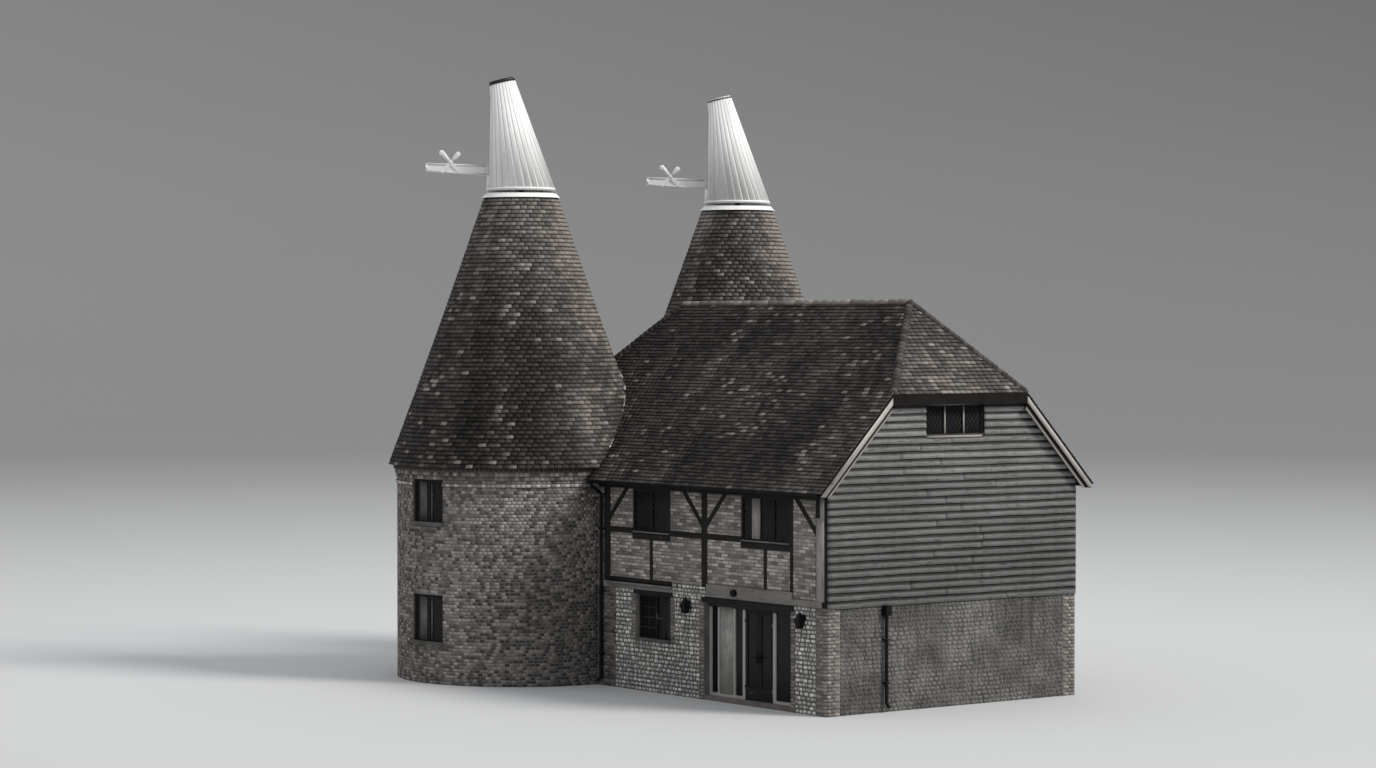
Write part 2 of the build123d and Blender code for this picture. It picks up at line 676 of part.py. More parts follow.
def brace(post_face, side):
    """A straight brace from a post's face up to the wall plate."""
    lean = math.atan2(BRACE_RISE, BRACE_RUN)
    top = PLATE_BOTTOM
    points = [(post_face, top - BRACE_RISE), (post_face + side * BRACE_RUN, top)]
    points += [(post_face + side * (BRACE_RUN - BRACE / math.sin(lean)), top)]
    points += [(post_face, top - BRACE_RISE + BRACE / math.cos(lean))]
    return upright(points, FRONT_Y, FRAME_DEPTH)


def front_frame():
    """Posts, rails and braces of the front's upper storey."""
    left_post = LEFT_POST_X + CORNER_POST
    centre = CENTRE_POST_X + CENTRE_POST
    posts = [timber(LEFT_POST_X, left_post, BRESSUMMER_TOP, PLATE_BOTTOM)]
    posts.append(timber(CENTRE_POST_X, centre, BRESSUMMER_TOP, PLATE_BOTTOM))
    posts.append(timber(RIGHT_POST_X, RIGHT_POST_X + CORNER_POST, BRESSUMMER_TOP, PLATE_BOTTOM))
    posts.append(timber(UPPER_WINDOW_2[1], UPPER_WINDOW_2[1] + STUD, DOOR_BEAM_TOP, PLATE_BOTTOM))
    rails = []
    for window, foot in ((UPPER_WINDOW_1, BRESSUMMER_TOP), (UPPER_WINDOW_2, DOOR_BEAM_TOP)):
        middle = (window[0] + window[1]) / 2
        sill_foot = window[2] - SILL_BEAM
        posts.append(timber(middle - STUD / 2, middle + STUD / 2, foot, sill_foot))
        rails.append(timber(window[0], window[1], sill_foot, window[2]))
    spans = [(left_post, UPPER_WINDOW_1[0]), (UPPER_WINDOW_1[1], CENTRE_POST_X)]
    spans.append((centre, UPPER_WINDOW_2[0]))
    for start, end in spans:
        rails.append(timber(start, end, RAIL_TOP - RAIL, RAIL_TOP))
    braces = [brace(left_post, 1), brace(CENTRE_POST_X, -1), brace(centre, 1), brace(RIGHT_POST_X, -1)]
    return posts, rails, braces


def door_beam():
    """The deeper part of the beam over the glazed opening, from the centre post to the window's stud."""
    left = CENTRE_POST_X + CENTRE_POST
    right = UPPER_WINDOW_2[1] + STUD
    face = FRONT_Y - BRESSUMMER_PROUD
    return block(left, right, face, FRONT_Y + FRAME_DEPTH, BRESSUMMER_TOP, DOOR_BEAM_TOP)


def plates_and_sills(kilns, attic):
    """The beams under and over the timber frame, front and back."""
    reach = -GABLE_X - DRUM_REACH
    end = GABLE_X - GABLE_THICKNESS
    face = FRONT_Y - BRESSUMMER_PROUD
    low = block(reach, end, face, FRONT_Y + BRESSUMMER_DEPTH, BRESSUMMER_BOTTOM, BRESSUMMER_TOP)
    low += door_beam()
    high = block(reach, end, FRONT_Y, FRONT_Y + FRAME_DEPTH, PLATE_BOTTOM, RIDGE_Z) & attic
    return [s - kilns for s in both_sides(low)], [s - kilns for s in both_sides(high)]


def brick_infill(kilns, timbers):
    """Brick panels between the timbers, a little back from their face, front and back."""
    left = -GABLE_X - DRUM_REACH
    face = FRONT_Y + INFILL_SETBACK
    panel = block(left, RIGHT_POST_X, face, face + INFILL_THICKNESS, BRESSUMMER_TOP, PLATE_BOTTOM)
    panel = panel - opening(UPPER_WINDOW_1) - opening(UPPER_WINDOW_2) - timbers - door_beam()
    return [s - kilns for s in both_sides(panel)]


def gable_wall(attic):
    """The framed wall behind the boards, with the window under the half-hip cut through."""
    wall = block(GABLE_X - GABLE_THICKNESS, GABLE_X, FRONT_Y, BACK_Y, BRESSUMMER_BOTTOM, RIDGE_Z) & attic
    left, right, sill, head = GABLE_WINDOW
    return wall - block(GABLE_X - STONE_WALL, GABLE_X + STONE_WALL, left, right, sill, head)


# Joinery

def casement(span, face_y, lights):
    """A window frame with equal lights in an opening of the front wall, and its panes."""
    left, right, sill, head = span
    back = face_y + FRAME_THICKNESS
    frame = block(left + SEAT_GAP, right - SEAT_GAP, face_y, back, sill + SEAT_GAP, head - SEAT_GAP)
    width = (right - left - 2 * FRAME_BAR - (lights - 1) * MULLION) / lights
    panes = []
    for index in range(lights):
        start = left + FRAME_BAR + index * (width + MULLION)
        low = sill + FRAME_BAR
        high = head - FRAME_BAR
        frame -= block(start, start + width, face_y - CUT_PAST, back + CUT_PAST, low, high)
        inset = face_y + (FRAME_THICKNESS - GLASS_THICKNESS) / 2
        panes.append(block(start, start + width, inset, inset + GLASS_THICKNESS, low, high))
    return frame, panes


def lower_sill(span):
    """A stone sill that stands out of the ground storey's wall."""
    left, right, foot = span[:3]
    return block(left, right, FRONT_Y - SILL_PROUD, FRONT_Y + WINDOW_SETBACK, foot, foot + SILL_HEIGHT)


def barn_windows():
    """Frames, panes and sills of the barn's front, back and gable windows."""
    frames = []
    panes = []
    for window, lights in ((UPPER_WINDOW_1, 2), (UPPER_WINDOW_2, 3)):
        frame, glass = casement(window, FRONT_Y + UPPER_SETBACK, lights)
        frames += both_sides(frame)
        for pane in glass:
            panes += both_sides(pane)
    face = FRONT_Y + WINDOW_SETBACK
    frame, glass = casement(LOWER_WINDOW, face, 2)
    frames += both_sides(frame)
    for pane in glass:
        panes += both_sides(pane)
    frame, glass = casement(BACK_WINDOW, face, 2)
    frames.append(at_back(frame))
    panes += [at_back(pane) for pane in glass]
    sills = both_sides(lower_sill(LOWER_WINDOW)) + [at_back(lower_sill(BACK_WINDOW))]

    turn = Pos(GABLE_X, 0, 0) * Rot(0, 0, 90)
    frame, glass = casement(GABLE_WINDOW, UPPER_SETBACK, 3)
    frames.append(turn * frame)
    panes += [turn * pane for pane in glass]
    return frames, panes, sills


def glazed_screen():
    """The timber screen in the wide opening: fixed lights each side of a pair of doors."""
    left, right, sill, head = GLAZED_OPENING
    face = FRONT_Y + SCREEN_SETBACK
    back = face + SCREEN_THICKNESS
    frame = block(left + SEAT_GAP, right - SEAT_GAP, face, back, sill, head - SEAT_GAP)
    panes = []
    door = (DOOR_POSTS_X[0] + SCREEN_POST, DOOR_POSTS_X[1])
    threshold = sill - CUT_PAST
    frame -= block(door[0], door[1], face - CUT_PAST, back + CUT_PAST, threshold, head - SCREEN_BAR)
    spans = [(left + SCREEN_BAR, SCREEN_BARS_X[0])]
    spans.append((SCREEN_BARS_X[0] + MULLION, SCREEN_BARS_X[1]))
    spans.append((SCREEN_BARS_X[1] + MULLION, DOOR_POSTS_X[0]))
    spans.append((DOOR_POSTS_X[1] + SCREEN_POST, right - SCREEN_BAR))
    inset = face + (SCREEN_THICKNESS - GLASS_THICKNESS) / 2
    for start, end in spans:
        low = sill + SCREEN_RAIL
        high = head - SCREEN_BAR
        frame -= block(start, end, face - CUT_PAST, back + CUT_PAST, low, high)
        panes.append(block(start, end, inset, inset + GLASS_THICKNESS, low, high))
    for x, side in ((door[0], -1), (door[1], 1)):
        for z in hinge_levels():
            frame += hinge_half(x, side, z, fixed=True)
    return frame, panes


def hinge_levels():
    head = GLAZED_OPENING[3] - SCREEN_BAR
    return (FLOOR_TOP + HINGE_FROM_END, head - HINGE_FROM_END - 2 * HINGE_HEIGHT)


def hinge_half(edge, side, z, fixed):
    """One half of a hinge: the post's half has the pin, the leaf's half turns on it."""
    face = FRONT_Y + SCREEN_SETBACK
    axis_x = edge - side * LEAF_GAP / 2
    axis_y = face - HINGE_OUT
    low = z if fixed else z + HINGE_HEIGHT + SEAT_GAP
    place = Pos(axis_x, axis_y, low)
    barrel = place * standing(HINGE_RADIUS, HINGE_HEIGHT)
    reach = edge + side * HINGE_REACH if fixed else edge - side * (LEAF_GAP + HINGE_REACH)
    ends = sorted((axis_x, reach))
    barrel += block(ends[0], ends[1], face - HINGE_PLATE, face, low, low + HINGE_HEIGHT)
    if fixed:
        return barrel + place * standing(HINGE_PIN_RADIUS, 2 * HINGE_HEIGHT)
    bore = Cylinder(HINGE_PIN_RADIUS + SEAT_GAP, 4 * HINGE_HEIGHT)
    return barrel - place * bore


def door_leaf(side):
    """One glazed leaf; side -1 is hung on the left post and 1 on the right."""
    door = (DOOR_POSTS_X[0] + SCREEN_POST, DOOR_POSTS_X[1])
    width = (door[1] - door[0] - 3 * LEAF_GAP) / 2
    start = door[0] + LEAF_GAP if side < 0 else door[1] - LEAF_GAP - width
    face = FRONT_Y + SCREEN_SETBACK
    low = FLOOR_TOP + LEAF_GAP
    high = GLAZED_OPENING[3] - SCREEN_BAR - LEAF_GAP
    leaf = block(start, start + width, face, face + LEAF_THICKNESS, low, high)
    light = (start + LEAF_STILE, start + width - LEAF_STILE, low + LEAF_FOOT_RAIL, high - LEAF_STILE)
    back = face + LEAF_THICKNESS
    leaf -= block(light[0], light[1], face - CUT_PAST, back + CUT_PAST, light[2], light[3])
    inset = face + (LEAF_THICKNESS - GLASS_THICKNESS) / 2
    pane = block(light[0], light[1], inset, inset + GLASS_THICKNESS, light[2], light[3])
    edge = door[0] if side < 0 else door[1]
    for z in hinge_levels():
        leaf += hinge_half(edge, side, z, fixed=False)
    return leaf, pane


# Fittings

def pipe(points, radius, bend):
    """A round pipe along a bent route."""
    route = FilletPolyline(*points, radius=bend)
    return sweep(Plane(route @ 0, z_dir=route % 0) * Circle(radius), route)


def gutter(length):
    """A half-round channel along +X, with closed ends, its rim at height 0."""
    hollow = standing(GUTTER_RADIUS - GUTTER_WALL, length - 2 * GUTTER_WALL, GUTTER_WALL)
    channel = Rot(0, 90, 0) * (standing(GUTTER_RADIUS, length) - hollow)
    return split(channel, bisect_by=Plane.XY, keep=Keep.BOTTOM)


def rainwater_pipes(kilns):
    """Gutters and downpipes at the front and back, and the short pipe with its box on the gable."""
    start = -GABLE_X + GUTTER_START
    line_y = EAVE_Y + GUTTER_INSET
    rim = EAVE_Z - SEAT_GAP
    channel = Pos(start, line_y, rim) * gutter(VERGE_X - BARGE_INSET - 2 * BARGE_THICKNESS - start)
    pipe_x = start + 2 * PIPE_RADIUS
    wall_y = FRONT_Y - BRESSUMMER_PROUD - PIPE_RADIUS - SEAT_GAP
    outlet = rim - GUTTER_RADIUS + GUTTER_WALL / 2
    neck = outlet - PIPE_NECK
    route = [(pipe_x, line_y, outlet), (pipe_x, line_y, neck), (pipe_x, wall_y, neck - PIPE_SWAN)]
    route += [(pipe_x, wall_y, PIPE_SHOE_Z), (pipe_x, wall_y - PIPE_SHOE, PIPE_SHOE_Z - PIPE_SHOE)]
    channel = channel - kilns
    run = pipe(route, PIPE_RADIUS, PIPE_BEND) - channel
    depth, width, height = GABLE_PIPE_BOX
    box_top = BRESSUMMER_BOTTOM - SEAT_GAP
    y = GABLE_PIPE_Y
    box = block(GABLE_X, GABLE_X + depth, y - width / 2, y + width / 2, box_top - height, box_top)
    x = GABLE_X + depth / 2
    fall = [(x, y, box_top - height / 2), (x, y, PIPE_SHOE_Z), (x + PIPE_SHOE, y, PIPE_SHOE_Z - PIPE_SHOE)]
    return both_sides(channel), both_sides(run) + [box + pipe(fall, PIPE_RADIUS, PIPE_BEND)]


def lantern(x, z):
    """A square wall lantern on a back plate, with a hipped cap."""
    width, depth, height = LANTERN_SIZE
    quarter = width / 4
    back = FRONT_Y - LANTERN_PLATE
    plate = block(x - quarter, x + quarter, back, FRONT_Y, z - height / 4, z + height / 3)
    middle = FRONT_Y - LANTERN_OUT - depth / 2
    foot = Pos(0, 0, -height / 2) * Rectangle(width * LANTERN_FOOT, depth * LANTERN_FOOT)
    waist = Rectangle(width * LANTERN_WAIST, depth * LANTERN_WAIST)
    tip = Pos(0, 0, height / 2) * Rectangle(width * LANTERN_TIP, depth * LANTERN_TIP)
    body = Pos(x, middle, z) * (loft([foot, waist]) + loft([Rectangle(width, depth), tip]))
    half = LANTERN_PLATE / 2
    arm = block(x - half, x + half, middle, FRONT_Y, z - LANTERN_PLATE, z + LANTERN_PLATE)
    return plate + body + arm


def wall_lanterns():
    """Two lanterns beside the glazed opening and the round lamp over it."""
    x, radius = FRONT_LAMP
    z = (BRESSUMMER_BOTTOM + DOOR_BEAM_TOP) / 2
    face = FRONT_Y - BRESSUMMER_PROUD
    lamp = Plane((x, face, z), z_dir=(0, -1, 0)) * standing(radius, radius)
    return [lantern(*place) for place in LANTERN_PLACES] + [lamp]


def main():
    """Build every piece and write it under its own name."""
    kilns = [kiln_envelope(kiln) for kiln in KILNS]
    attic = under_roof()

    odd, even = kiln_walls()
    write("kiln_walls_1", *odd)
    write("kiln_walls_2", *even)
    frames, panes, sills = barn_windows()
    cones = []
    beams = []
    for kiln in KILNS:
        cones.append(cone_solid(kiln))
        beams.append(cowl_beam(kiln))
        for z, height in KILN_WINDOWS:
            frame, glass, sill = kiln_window(kiln, z, height)
            frames.append(frame)
            panes += glass
            sills.append(sill)
        for name, pieces in cowl_pieces().items():
            placed = [kiln.place(piece, FINGER_HEADING - 180, kiln.cowl_z) for piece in pieces]
            write(f"cowl_{kiln.name}_{name}", *placed)
    write("kiln_roofs", *cones)
    write("cowl_beams", *beams)
    curb = [(CURB_BORE_RADIUS, 0), (CURB_FOOT_RADIUS, 0)]
    curb += [(CURB_TOP_RADIUS, CURB_HEIGHT), (CURB_BORE_RADIUS, CURB_HEIGHT)]
    write("cowl_curbs", *[kiln.place(turned(curb), 0, kiln.ring_z) for kiln in KILNS])

    front_wall, pier, foot_wall, back_wall, lintels = stone_walls(kilns)
    write("front_wall", front_wall, pier)
    write("gable_foot_wall", foot_wall)
    write("back_wall", back_wall)
    write("lintels", *lintels)
    write("link_wall", link_wall(kilns, attic))
    ground, upper, attic_floor = floors(kilns)
    write("ground_floors", *ground)
    write("upper_floors", *upper)
    write("attic_floor", attic_floor)

    posts, rails, braces = front_frame()
    write("frame_posts", *posts, *[at_back(post) for post in posts])
    write("frame_rails", *rails, *[at_back(rail) for rail in rails])
    write("frame_braces", *braces, *[at_back(piece) for piece in braces])
    bressummers, plates = plates_and_sills(kilns, attic)
    write("bressummers", *bressummers)
    write("wall_plates", *plates)
    write("brick_infill", *brick_infill(kilns, posts + rails + braces))
    write("gable_wall", gable_wall(attic))

    boards = barge_boards()
    front, back, half_hip, kiln_hip = barn_roof(kilns)
    write("barge_boards", boards)
    write("roof_front", front - boards)
    write("roof_back", back - boards)
    write("roof_hips", half_hip - boards, kiln_hip)
    write("ridge_caps", ridge_caps(kilns))

    screen, screen_panes = glazed_screen()
    write("window_frames", *frames)
    write("window_glass", *panes, *screen_panes)
    write("window_sills", *sills)
    write("screen_frame", screen)
    for name, side in (("left", -1), ("right", 1)):
        leaf, pane = door_leaf(side)
        write(f"door_{name}", leaf)
        write(f"door_{name}_glass", pane)
    gutters, downpipes = rainwater_pipes(kilns)
    write("gutters", *gutters)
    write("downpipes", *downpipes)
    write("wall_lanterns", *wall_lanterns())


main()
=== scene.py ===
"""Looks of the oast house: tiles, bricks, stones, boards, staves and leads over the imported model."""
import json
import math

import bpy
import numpy as np
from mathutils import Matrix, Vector


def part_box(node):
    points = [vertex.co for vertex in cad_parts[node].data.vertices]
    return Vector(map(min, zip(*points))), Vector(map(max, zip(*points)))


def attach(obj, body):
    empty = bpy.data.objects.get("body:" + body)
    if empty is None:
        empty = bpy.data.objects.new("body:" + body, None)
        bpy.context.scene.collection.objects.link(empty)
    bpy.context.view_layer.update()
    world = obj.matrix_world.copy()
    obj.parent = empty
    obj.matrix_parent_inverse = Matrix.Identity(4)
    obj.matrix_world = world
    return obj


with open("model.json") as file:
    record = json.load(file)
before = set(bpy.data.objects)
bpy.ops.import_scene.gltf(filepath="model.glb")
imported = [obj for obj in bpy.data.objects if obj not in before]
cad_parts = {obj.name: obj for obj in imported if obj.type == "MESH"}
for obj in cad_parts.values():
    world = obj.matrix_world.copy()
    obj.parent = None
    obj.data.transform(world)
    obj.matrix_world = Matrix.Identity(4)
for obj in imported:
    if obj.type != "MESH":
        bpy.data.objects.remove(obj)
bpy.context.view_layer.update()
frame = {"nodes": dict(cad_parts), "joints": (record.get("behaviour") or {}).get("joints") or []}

# Sizes of the building in metres, as the part's source has them
HOUSE = "house"
GABLE_LOW, GABLE_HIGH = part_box("gable_wall")
GABLE_X = GABLE_HIGH.x
FRONT_Y = GABLE_LOW.y
BOARDS_FOOT = GABLE_LOW.z
EAVE_Y, EAVE_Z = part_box("roof_front")[0].yz
VERGE_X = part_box("roof_front")[1].x
SLOPE_PITCH = math.radians(45.75)
SLOPE = math.tan(SLOPE_PITCH)
HALF_HIP_Z = 6.617
HALF_HIP_PITCH = math.radians(49.6)
KILN_HIP_X = -8.66
KILN_HIP_PITCH = math.radians(50.9)
RIDGE_Z = EAVE_Z - EAVE_Y * SLOPE
ROOF_THICKNESS = 0.15
STONE_TOP = 2.23
BEAM_TOP = 2.36
PLATE_FOOT = 4.45
TRIM_TOP = PLATE_FOOT + 0.06
CORNER_BOARD = (3.675, 3.8, 3.93)
BRACE_FOOT = 4.08
INFILL_SETBACK = 0.015
INFILL_END = -4.03
BRICK_END_LEFT = -4.02
RUBBLE_LEFT = -3.36
CORNER_WIDTH = 0.34

# Kilns
DRUM_RADIUS = 2.85
DRUM_TOP = 4.873
STRING_FOOT = 4.44
STRING_TOP = 4.515
CORBEL_FOOT = 4.59
COURSE_STEP = 0.028
CONE_EAVE = 3.04
CONE_RING = 0.85
CONE_HOLLOW = 0.03
COWL_OVER_RING = 0.162
KILN_WINDOW_HALF = 0.515
KILN_WINDOWS = ((0.87, 2.0), (3.56, 4.59))
KILN_WINDOW_HEADING = math.radians(83)

# Cowls, in each cowl's own turned frame with the finger along -X
COWL_FOOT = 0.79
COWL_TOP = 0.25
COWL_OFFSET = 0.45
COWL_RISE = 2.703
COWL_CUT = 2.53
COWL_CUT_SLOPE = math.tan(math.radians(13.7))
COWL_TURN = math.radians(54.76)
MOUTH_LEVELS = (0.35, 2.2)
MOUTH_HALF_ANGLE = math.radians(22)
STAVE_FOOT = 0.004
FINGER_ROOT = -0.82
FINGER_TIP = -2.2
FINGER_FOOT = 0.35
ORNAMENT = (-1.62, 0.0, 0.66)
ORNAMENT_LEAN = math.radians(47)

# Openings of the barn, as (left, right, sill, head)
UPPER_WINDOWS = ((-2.74, -1.36, 3.49, 4.45), (1.13, 2.79, 3.49, 4.45))
LOWER_WINDOW = (-2.6, -1.33, 1.12, 2.13)
BACK_WINDOW = (1.33, 2.6, 1.12, 2.13)
GLAZED_OPENING = (-0.13, 2.83, 0.0, 2.1)
DOOR_BEAM = (-0.04, 2.885, 2.3, 2.5)
GABLE_WINDOW = (-0.825, 0.83, 5.7, 6.4)
UPPER_GLASS = 0.049
LOWER_GLASS = 0.119

# Downpipes
PIPE_X = -3.834
PIPE_Y = -FRONT_Y + 0.0633
GABLE_PIPE_Y = -1.96
PIPE_REACH = 0.052
PIPE_BAND_RISE = 0.035
PIPE_BANDS = (0.7, 2.1, 3.5)
GABLE_PIPE_BANDS = (0.6, 1.5)

# Unit sizes
TILE_WIDTH = 0.168
TILE_GAUGE = 0.1
TILE_LENGTH = 0.138
TILE_THICK = 0.014
BRICK_RISE = 0.075
HEADER = 0.112
STRETCHER = 0.225
JOINT = 0.01
STONE_RISE = 0.092
STONE_LENGTH = 0.125
BOARD_GAUGE = 0.16
CAP_RADIUS = 0.072
CAP_DROP = 0.022

# Lap values round a tile, a board and a stave, and through a stone: 1 where painted shade goes, under a lap,
# in a groove or in a gap, with the dirt that gathers there
TILE_LAP = (0, 0, 1, 1)
BOARD_LAP = (1, 1, 0, 0)
STAVE_LAP = (1, 0, 0, 0, 0, 1)
COBBLE_LAP = ((1.0,), (0.5,), (0.0,))

# Headings round a kiln: the cones' side with painted light, the second cone's newer tiles and the drums' side
# towards the barn
CONE_PAINTED_LIGHT_SIDE = math.radians(42)
MENDED_HEADING = math.radians(-86.6)
BARN_SIDE_HEADING = math.radians(-12)
CIRCLE = 12.0

RANDOM = np.random.default_rng(1838)
OCTAGON = np.radians(np.arange(8) * 45 + 22.5)
UP = np.array((0.0, 0.0, 1.0))


class Kiln:
    """A kiln's plan centre, its cone's ring level and the side that its windows face."""

    def __init__(self, letter, side):
        joint = next(joint for joint in frame["joints"] if joint["name"] == f"cowl_{letter}_turn")
        self.x, self.y, self.cowl_z = joint["pos_m"]
        self.ring_z = self.cowl_z - COWL_OVER_RING
        self.letter = letter
        self.body = f"cowl_{letter}"
        self.side = side
        self.window_angle = side * KILN_WINDOW_HEADING

    def at(self, radius, angle, z):
        """Points at a distance from the kiln's axis."""
        x = self.x + radius * np.cos(angle)
        y = self.y + radius * np.sin(angle)
        return np.stack(np.broadcast_arrays(x, y, z), -1)


KILNS = (Kiln("a", -1), Kiln("b", 1))


# Meshes from arrays

def put(name, data):
    """A new object in the scene."""
    made = bpy.data.objects.new(name, data)
    bpy.context.scene.collection.objects.link(made)
    return made


def add_piece(name, points, faces, finish, body=HOUSE, slot=None, tone=None, lap=None):
    """One mesh object from points and four-sided faces. A point may carry a tone, which is its unit's shade,
    and a lap, which is 1 where the unit runs under or against its neighbour."""
    mesh = bpy.data.meshes.new(name)
    points = np.asarray(points, np.float32).reshape(-1, 3)
    mesh.vertices.add(len(points))
    mesh.vertices.foreach_set("co", points.ravel())
    mesh.loops.add(faces.size)
    mesh.loops.foreach_set("vertex_index", faces.astype(np.int32).ravel())
    mesh.polygons.add(len(faces))
    mesh.polygons.foreach_set("loop_start", np.arange(len(faces), dtype=np.int32) * 4)
    for label, values in (("tone", tone), ("lap", lap)):
        if values is not None:
            attribute = mesh.attributes.new(label, "FLOAT", "POINT")
            attribute.data.foreach_set("value", np.asarray(values, np.float32).ravel())
    mesh.update(calc_edges=True)
    mesh.validate()
    mesh.materials.append(FINISHES[finish])
    piece = put(name, mesh)
    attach(piece, body)
    slot or finish


def band(sections, around):
    """Quads between each two sections of a tube whose points run by section, then round the ring."""
    ring = np.arange(around)
    after = (ring + 1) % around
    low = np.arange(sections - 1)[:, None] * around
    quads = np.stack([ring + low, after + low, after + low + around, ring + low + around], -1)
    return quads.reshape(-1, 4)


def add_prisms(name, rings, finish, tone=None, lap=None, **where):
    """Closed prisms from an array of (prism, section, ring point, xyz): bands of quads, and quads across both
    end rings. There is one tone to a prism, and a lap for each point of a ring or a section."""
    rings = np.asarray(rings, float)
    count, sections, around = rings.shape[:3]
    if tone is None:
        tone = RANDOM.random(count)
    tone = np.repeat(np.asarray(tone, float), sections * around)
    if lap is not None:
        lap = np.tile(np.broadcast_to(lap, (sections, around)).ravel(), count)
    step = np.arange(around // 2 - 1)
    end = np.stack([step, step + 1, around - 2 - step, around - 1 - step], 1)
    one = np.concatenate([band(sections, around), end[:, ::-1], end + (sections - 1) * around])
    faces = one + (np.arange(count) * sections * around)[:, None, None]
    add_piece(name, rings, faces.reshape(-1, 4), finish, tone=tone, lap=lap, **where)


def add_boxes(name, rows, finish, slot, **where):
    """Square pieces from rows of left, right, front, back, foot and head."""
    x0, x1, y0, y1, z0, z1 = np.array(rows, float).T
    rings = np.array([[(x0, y0, z), (x1, y0, z), (x1, y1, z), (x0, y1, z)] for z in (z0, z1)])
    add_prisms(name, np.moveaxis(rings, -1, 0), finish, slot=slot, **where)


def plane_place(origin, right, out):
    """A flat wall's own frame: a point is origin + u right + z up + d out."""
    origin, right, out = (np.array(part, float) for part in (origin, right, out))

    def place(u, z, d):
        u, z, d = (part[..., None] for part in np.broadcast_arrays(u, z, d))
        return origin + u * right + z * UP + d * out
    return place


FRONT = plane_place((0, FRONT_Y, 0), (1, 0, 0), (0, -1, 0))
BACK = plane_place((0, -FRONT_Y, 0), (-1, 0, 0), (0, 1, 0))
GABLE = plane_place((GABLE_X, 0, 0), (0, 1, 0), (1, 0, 0))


def set_out(place, by):
    """A wall's own frame with its face moved outwards."""
    return lambda u, z, d: place(u, z, d + by)


def free_spans(left, right, holes, z):
    """What is left of the stretch from left to right at height z once the holes are taken out."""
    spans = [(left, right)]
    for start, end, foot, head in holes:
        if foot < z < head:
            cut = []
            for a, b in spans:
                cut += [(a, min(b, start)), (max(a, end), b)]
            spans = [(a, b) for a, b in cut if b - a > 0.03]
    return spans


def laid(left, right, foot, head, rise, length, holes=(), wander=0.0):
    """Courses of units between two ends, broken at the holes; every other course starts half a unit in.
    Each row of the result is left, right, foot and head of one unit."""
    rows = []
    count = max(1, round((head - foot) / rise))
    rise = (head - foot) / count
    for course in range(count):
        low = foot + course * rise
        for start, end in free_spans(left, right, holes, low + rise / 2):
            shift = length * (0.5 if course % 2 else 1.0)
            steps = length * (1 + wander * (RANDOM.random(int((end - start) / length * 2) + 4) - 0.5))
            cuts = start + shift - length + np.cumsum(steps)
            cuts = cuts[(cuts > start + length * 0.3) & (cuts < end - length * 0.3)]
            cuts = np.concatenate([[start], cuts, [end]])
            level = np.full(len(cuts) - 1, low)
            rows.append(np.stack([cuts[:-1], cuts[1:], level, level + rise], 1))
    return np.concatenate(rows)


def brick_rings(units, place, proud=0.004):
    """Brick faces on a wall: a ring sunk behind the joint's face, and a slightly smaller one in front."""
    left, right, foot, head = (units + np.array([1, -1, 1, -1]) * JOINT / 2).T
    jitter = (RANDOM.random(len(units)) - 0.5) * 0.003
    rings = []
    for depth, inset in ((-0.008 + 0 * jitter, 0.0), (proud + jitter, 0.0035)):
        us = np.stack([left + inset, right - inset, right - inset, left + inset], 1)
        zs = np.stack([foot + inset, foot + inset, head - inset, head - inset], 1)
        rings.append(place(us, zs, depth[:, None]))
    return np.stack(rings, 1)


def cobble_rings(units, place, proud=0.026):
    """Rough stones: an eight-sided outline in each unit, swelling to a smaller face in front. It is the
    unit's half width and height times a circle squared off a little, with a seeded wobble."""
    left, right, foot, head = (units + np.array([1, -1, 1, -1]) * 0.007).T[..., None]
    round_x, round_z = (np.sign(part) * np.abs(part) ** 0.7 for part in (np.cos(OCTAGON), np.sin(OCTAGON)))
    wobble = 1 - RANDOM.random((len(units), 8)) * 0.16
    swell = 0.6 + RANDOM.random((len(units), 1)) * 0.6
    rings = []
    for depth, size in ((-0.01, 1.0), (proud * 0.6, 0.93), (proud, 0.58)):
        us = (left + right) / 2 + (right - left) / 2 * round_x * wobble * size
        zs = (foot + head) / 2 + (head - foot) / 2 * round_z * wobble * size
        rings.append(place(us, zs, depth * swell))
    return np.stack(rings, 1)


# Finishes

class Net:
    """Short calls for making and linking nodes in one tree."""

    def __init__(self, tree):
        self.tree = tree

    def feed(self, source, socket):
        if hasattr(source, "is_output"):
            self.tree.links.new(source, socket)
        else:
            socket.default_value = source

    def outputs(self, kind, inputs, **values):
        """Make a node, feed its inputs by name or number, and give its outputs."""
        made = self.tree.nodes.new("ShaderNode" + kind)
        for key, value in values.items():
            setattr(made, key, value)
        for key, source in inputs.items():
            self.feed(source, made.inputs[key])
        return made.outputs

    def noise(self, vector, scale, detail, rough, distort=0.0):
        return self.outputs("TexNoise", {"Vector": vector, "Scale": scale, "Detail": detail,
                                         "Roughness": rough, "Distortion": distort})["Fac"]

    def stretched(self, vector, scale):
        return self.outputs("VectorMath", {0: vector, 1: scale}, operation="MULTIPLY")[0]

    def math(self, operation, a, b=0.0, clamp=False):
        return self.outputs("Math", {0: a, 1: b}, operation=operation, use_clamp=clamp)[0]

    def times(self, a, b, clamp=False):
        return self.math("MULTIPLY", a, b, clamp)

    def plus(self, a, b):
        return self.math("ADD", a, b)

    def span(self, value, low, high, to_low=0.0, to_high=1.0):
        return self.outputs("MapRange", dict(enumerate((value, low, high, to_low, to_high))))["Result"]

    def mix(self, share, a, b, blend="MIX"):
        return self.outputs("Mix", {0: share, 6: a, 7: b}, data_type="RGBA", blend_type=blend)[2]

    def attribute(self, name):
        return self.outputs("Attribute", {}, attribute_name=name)["Fac"]


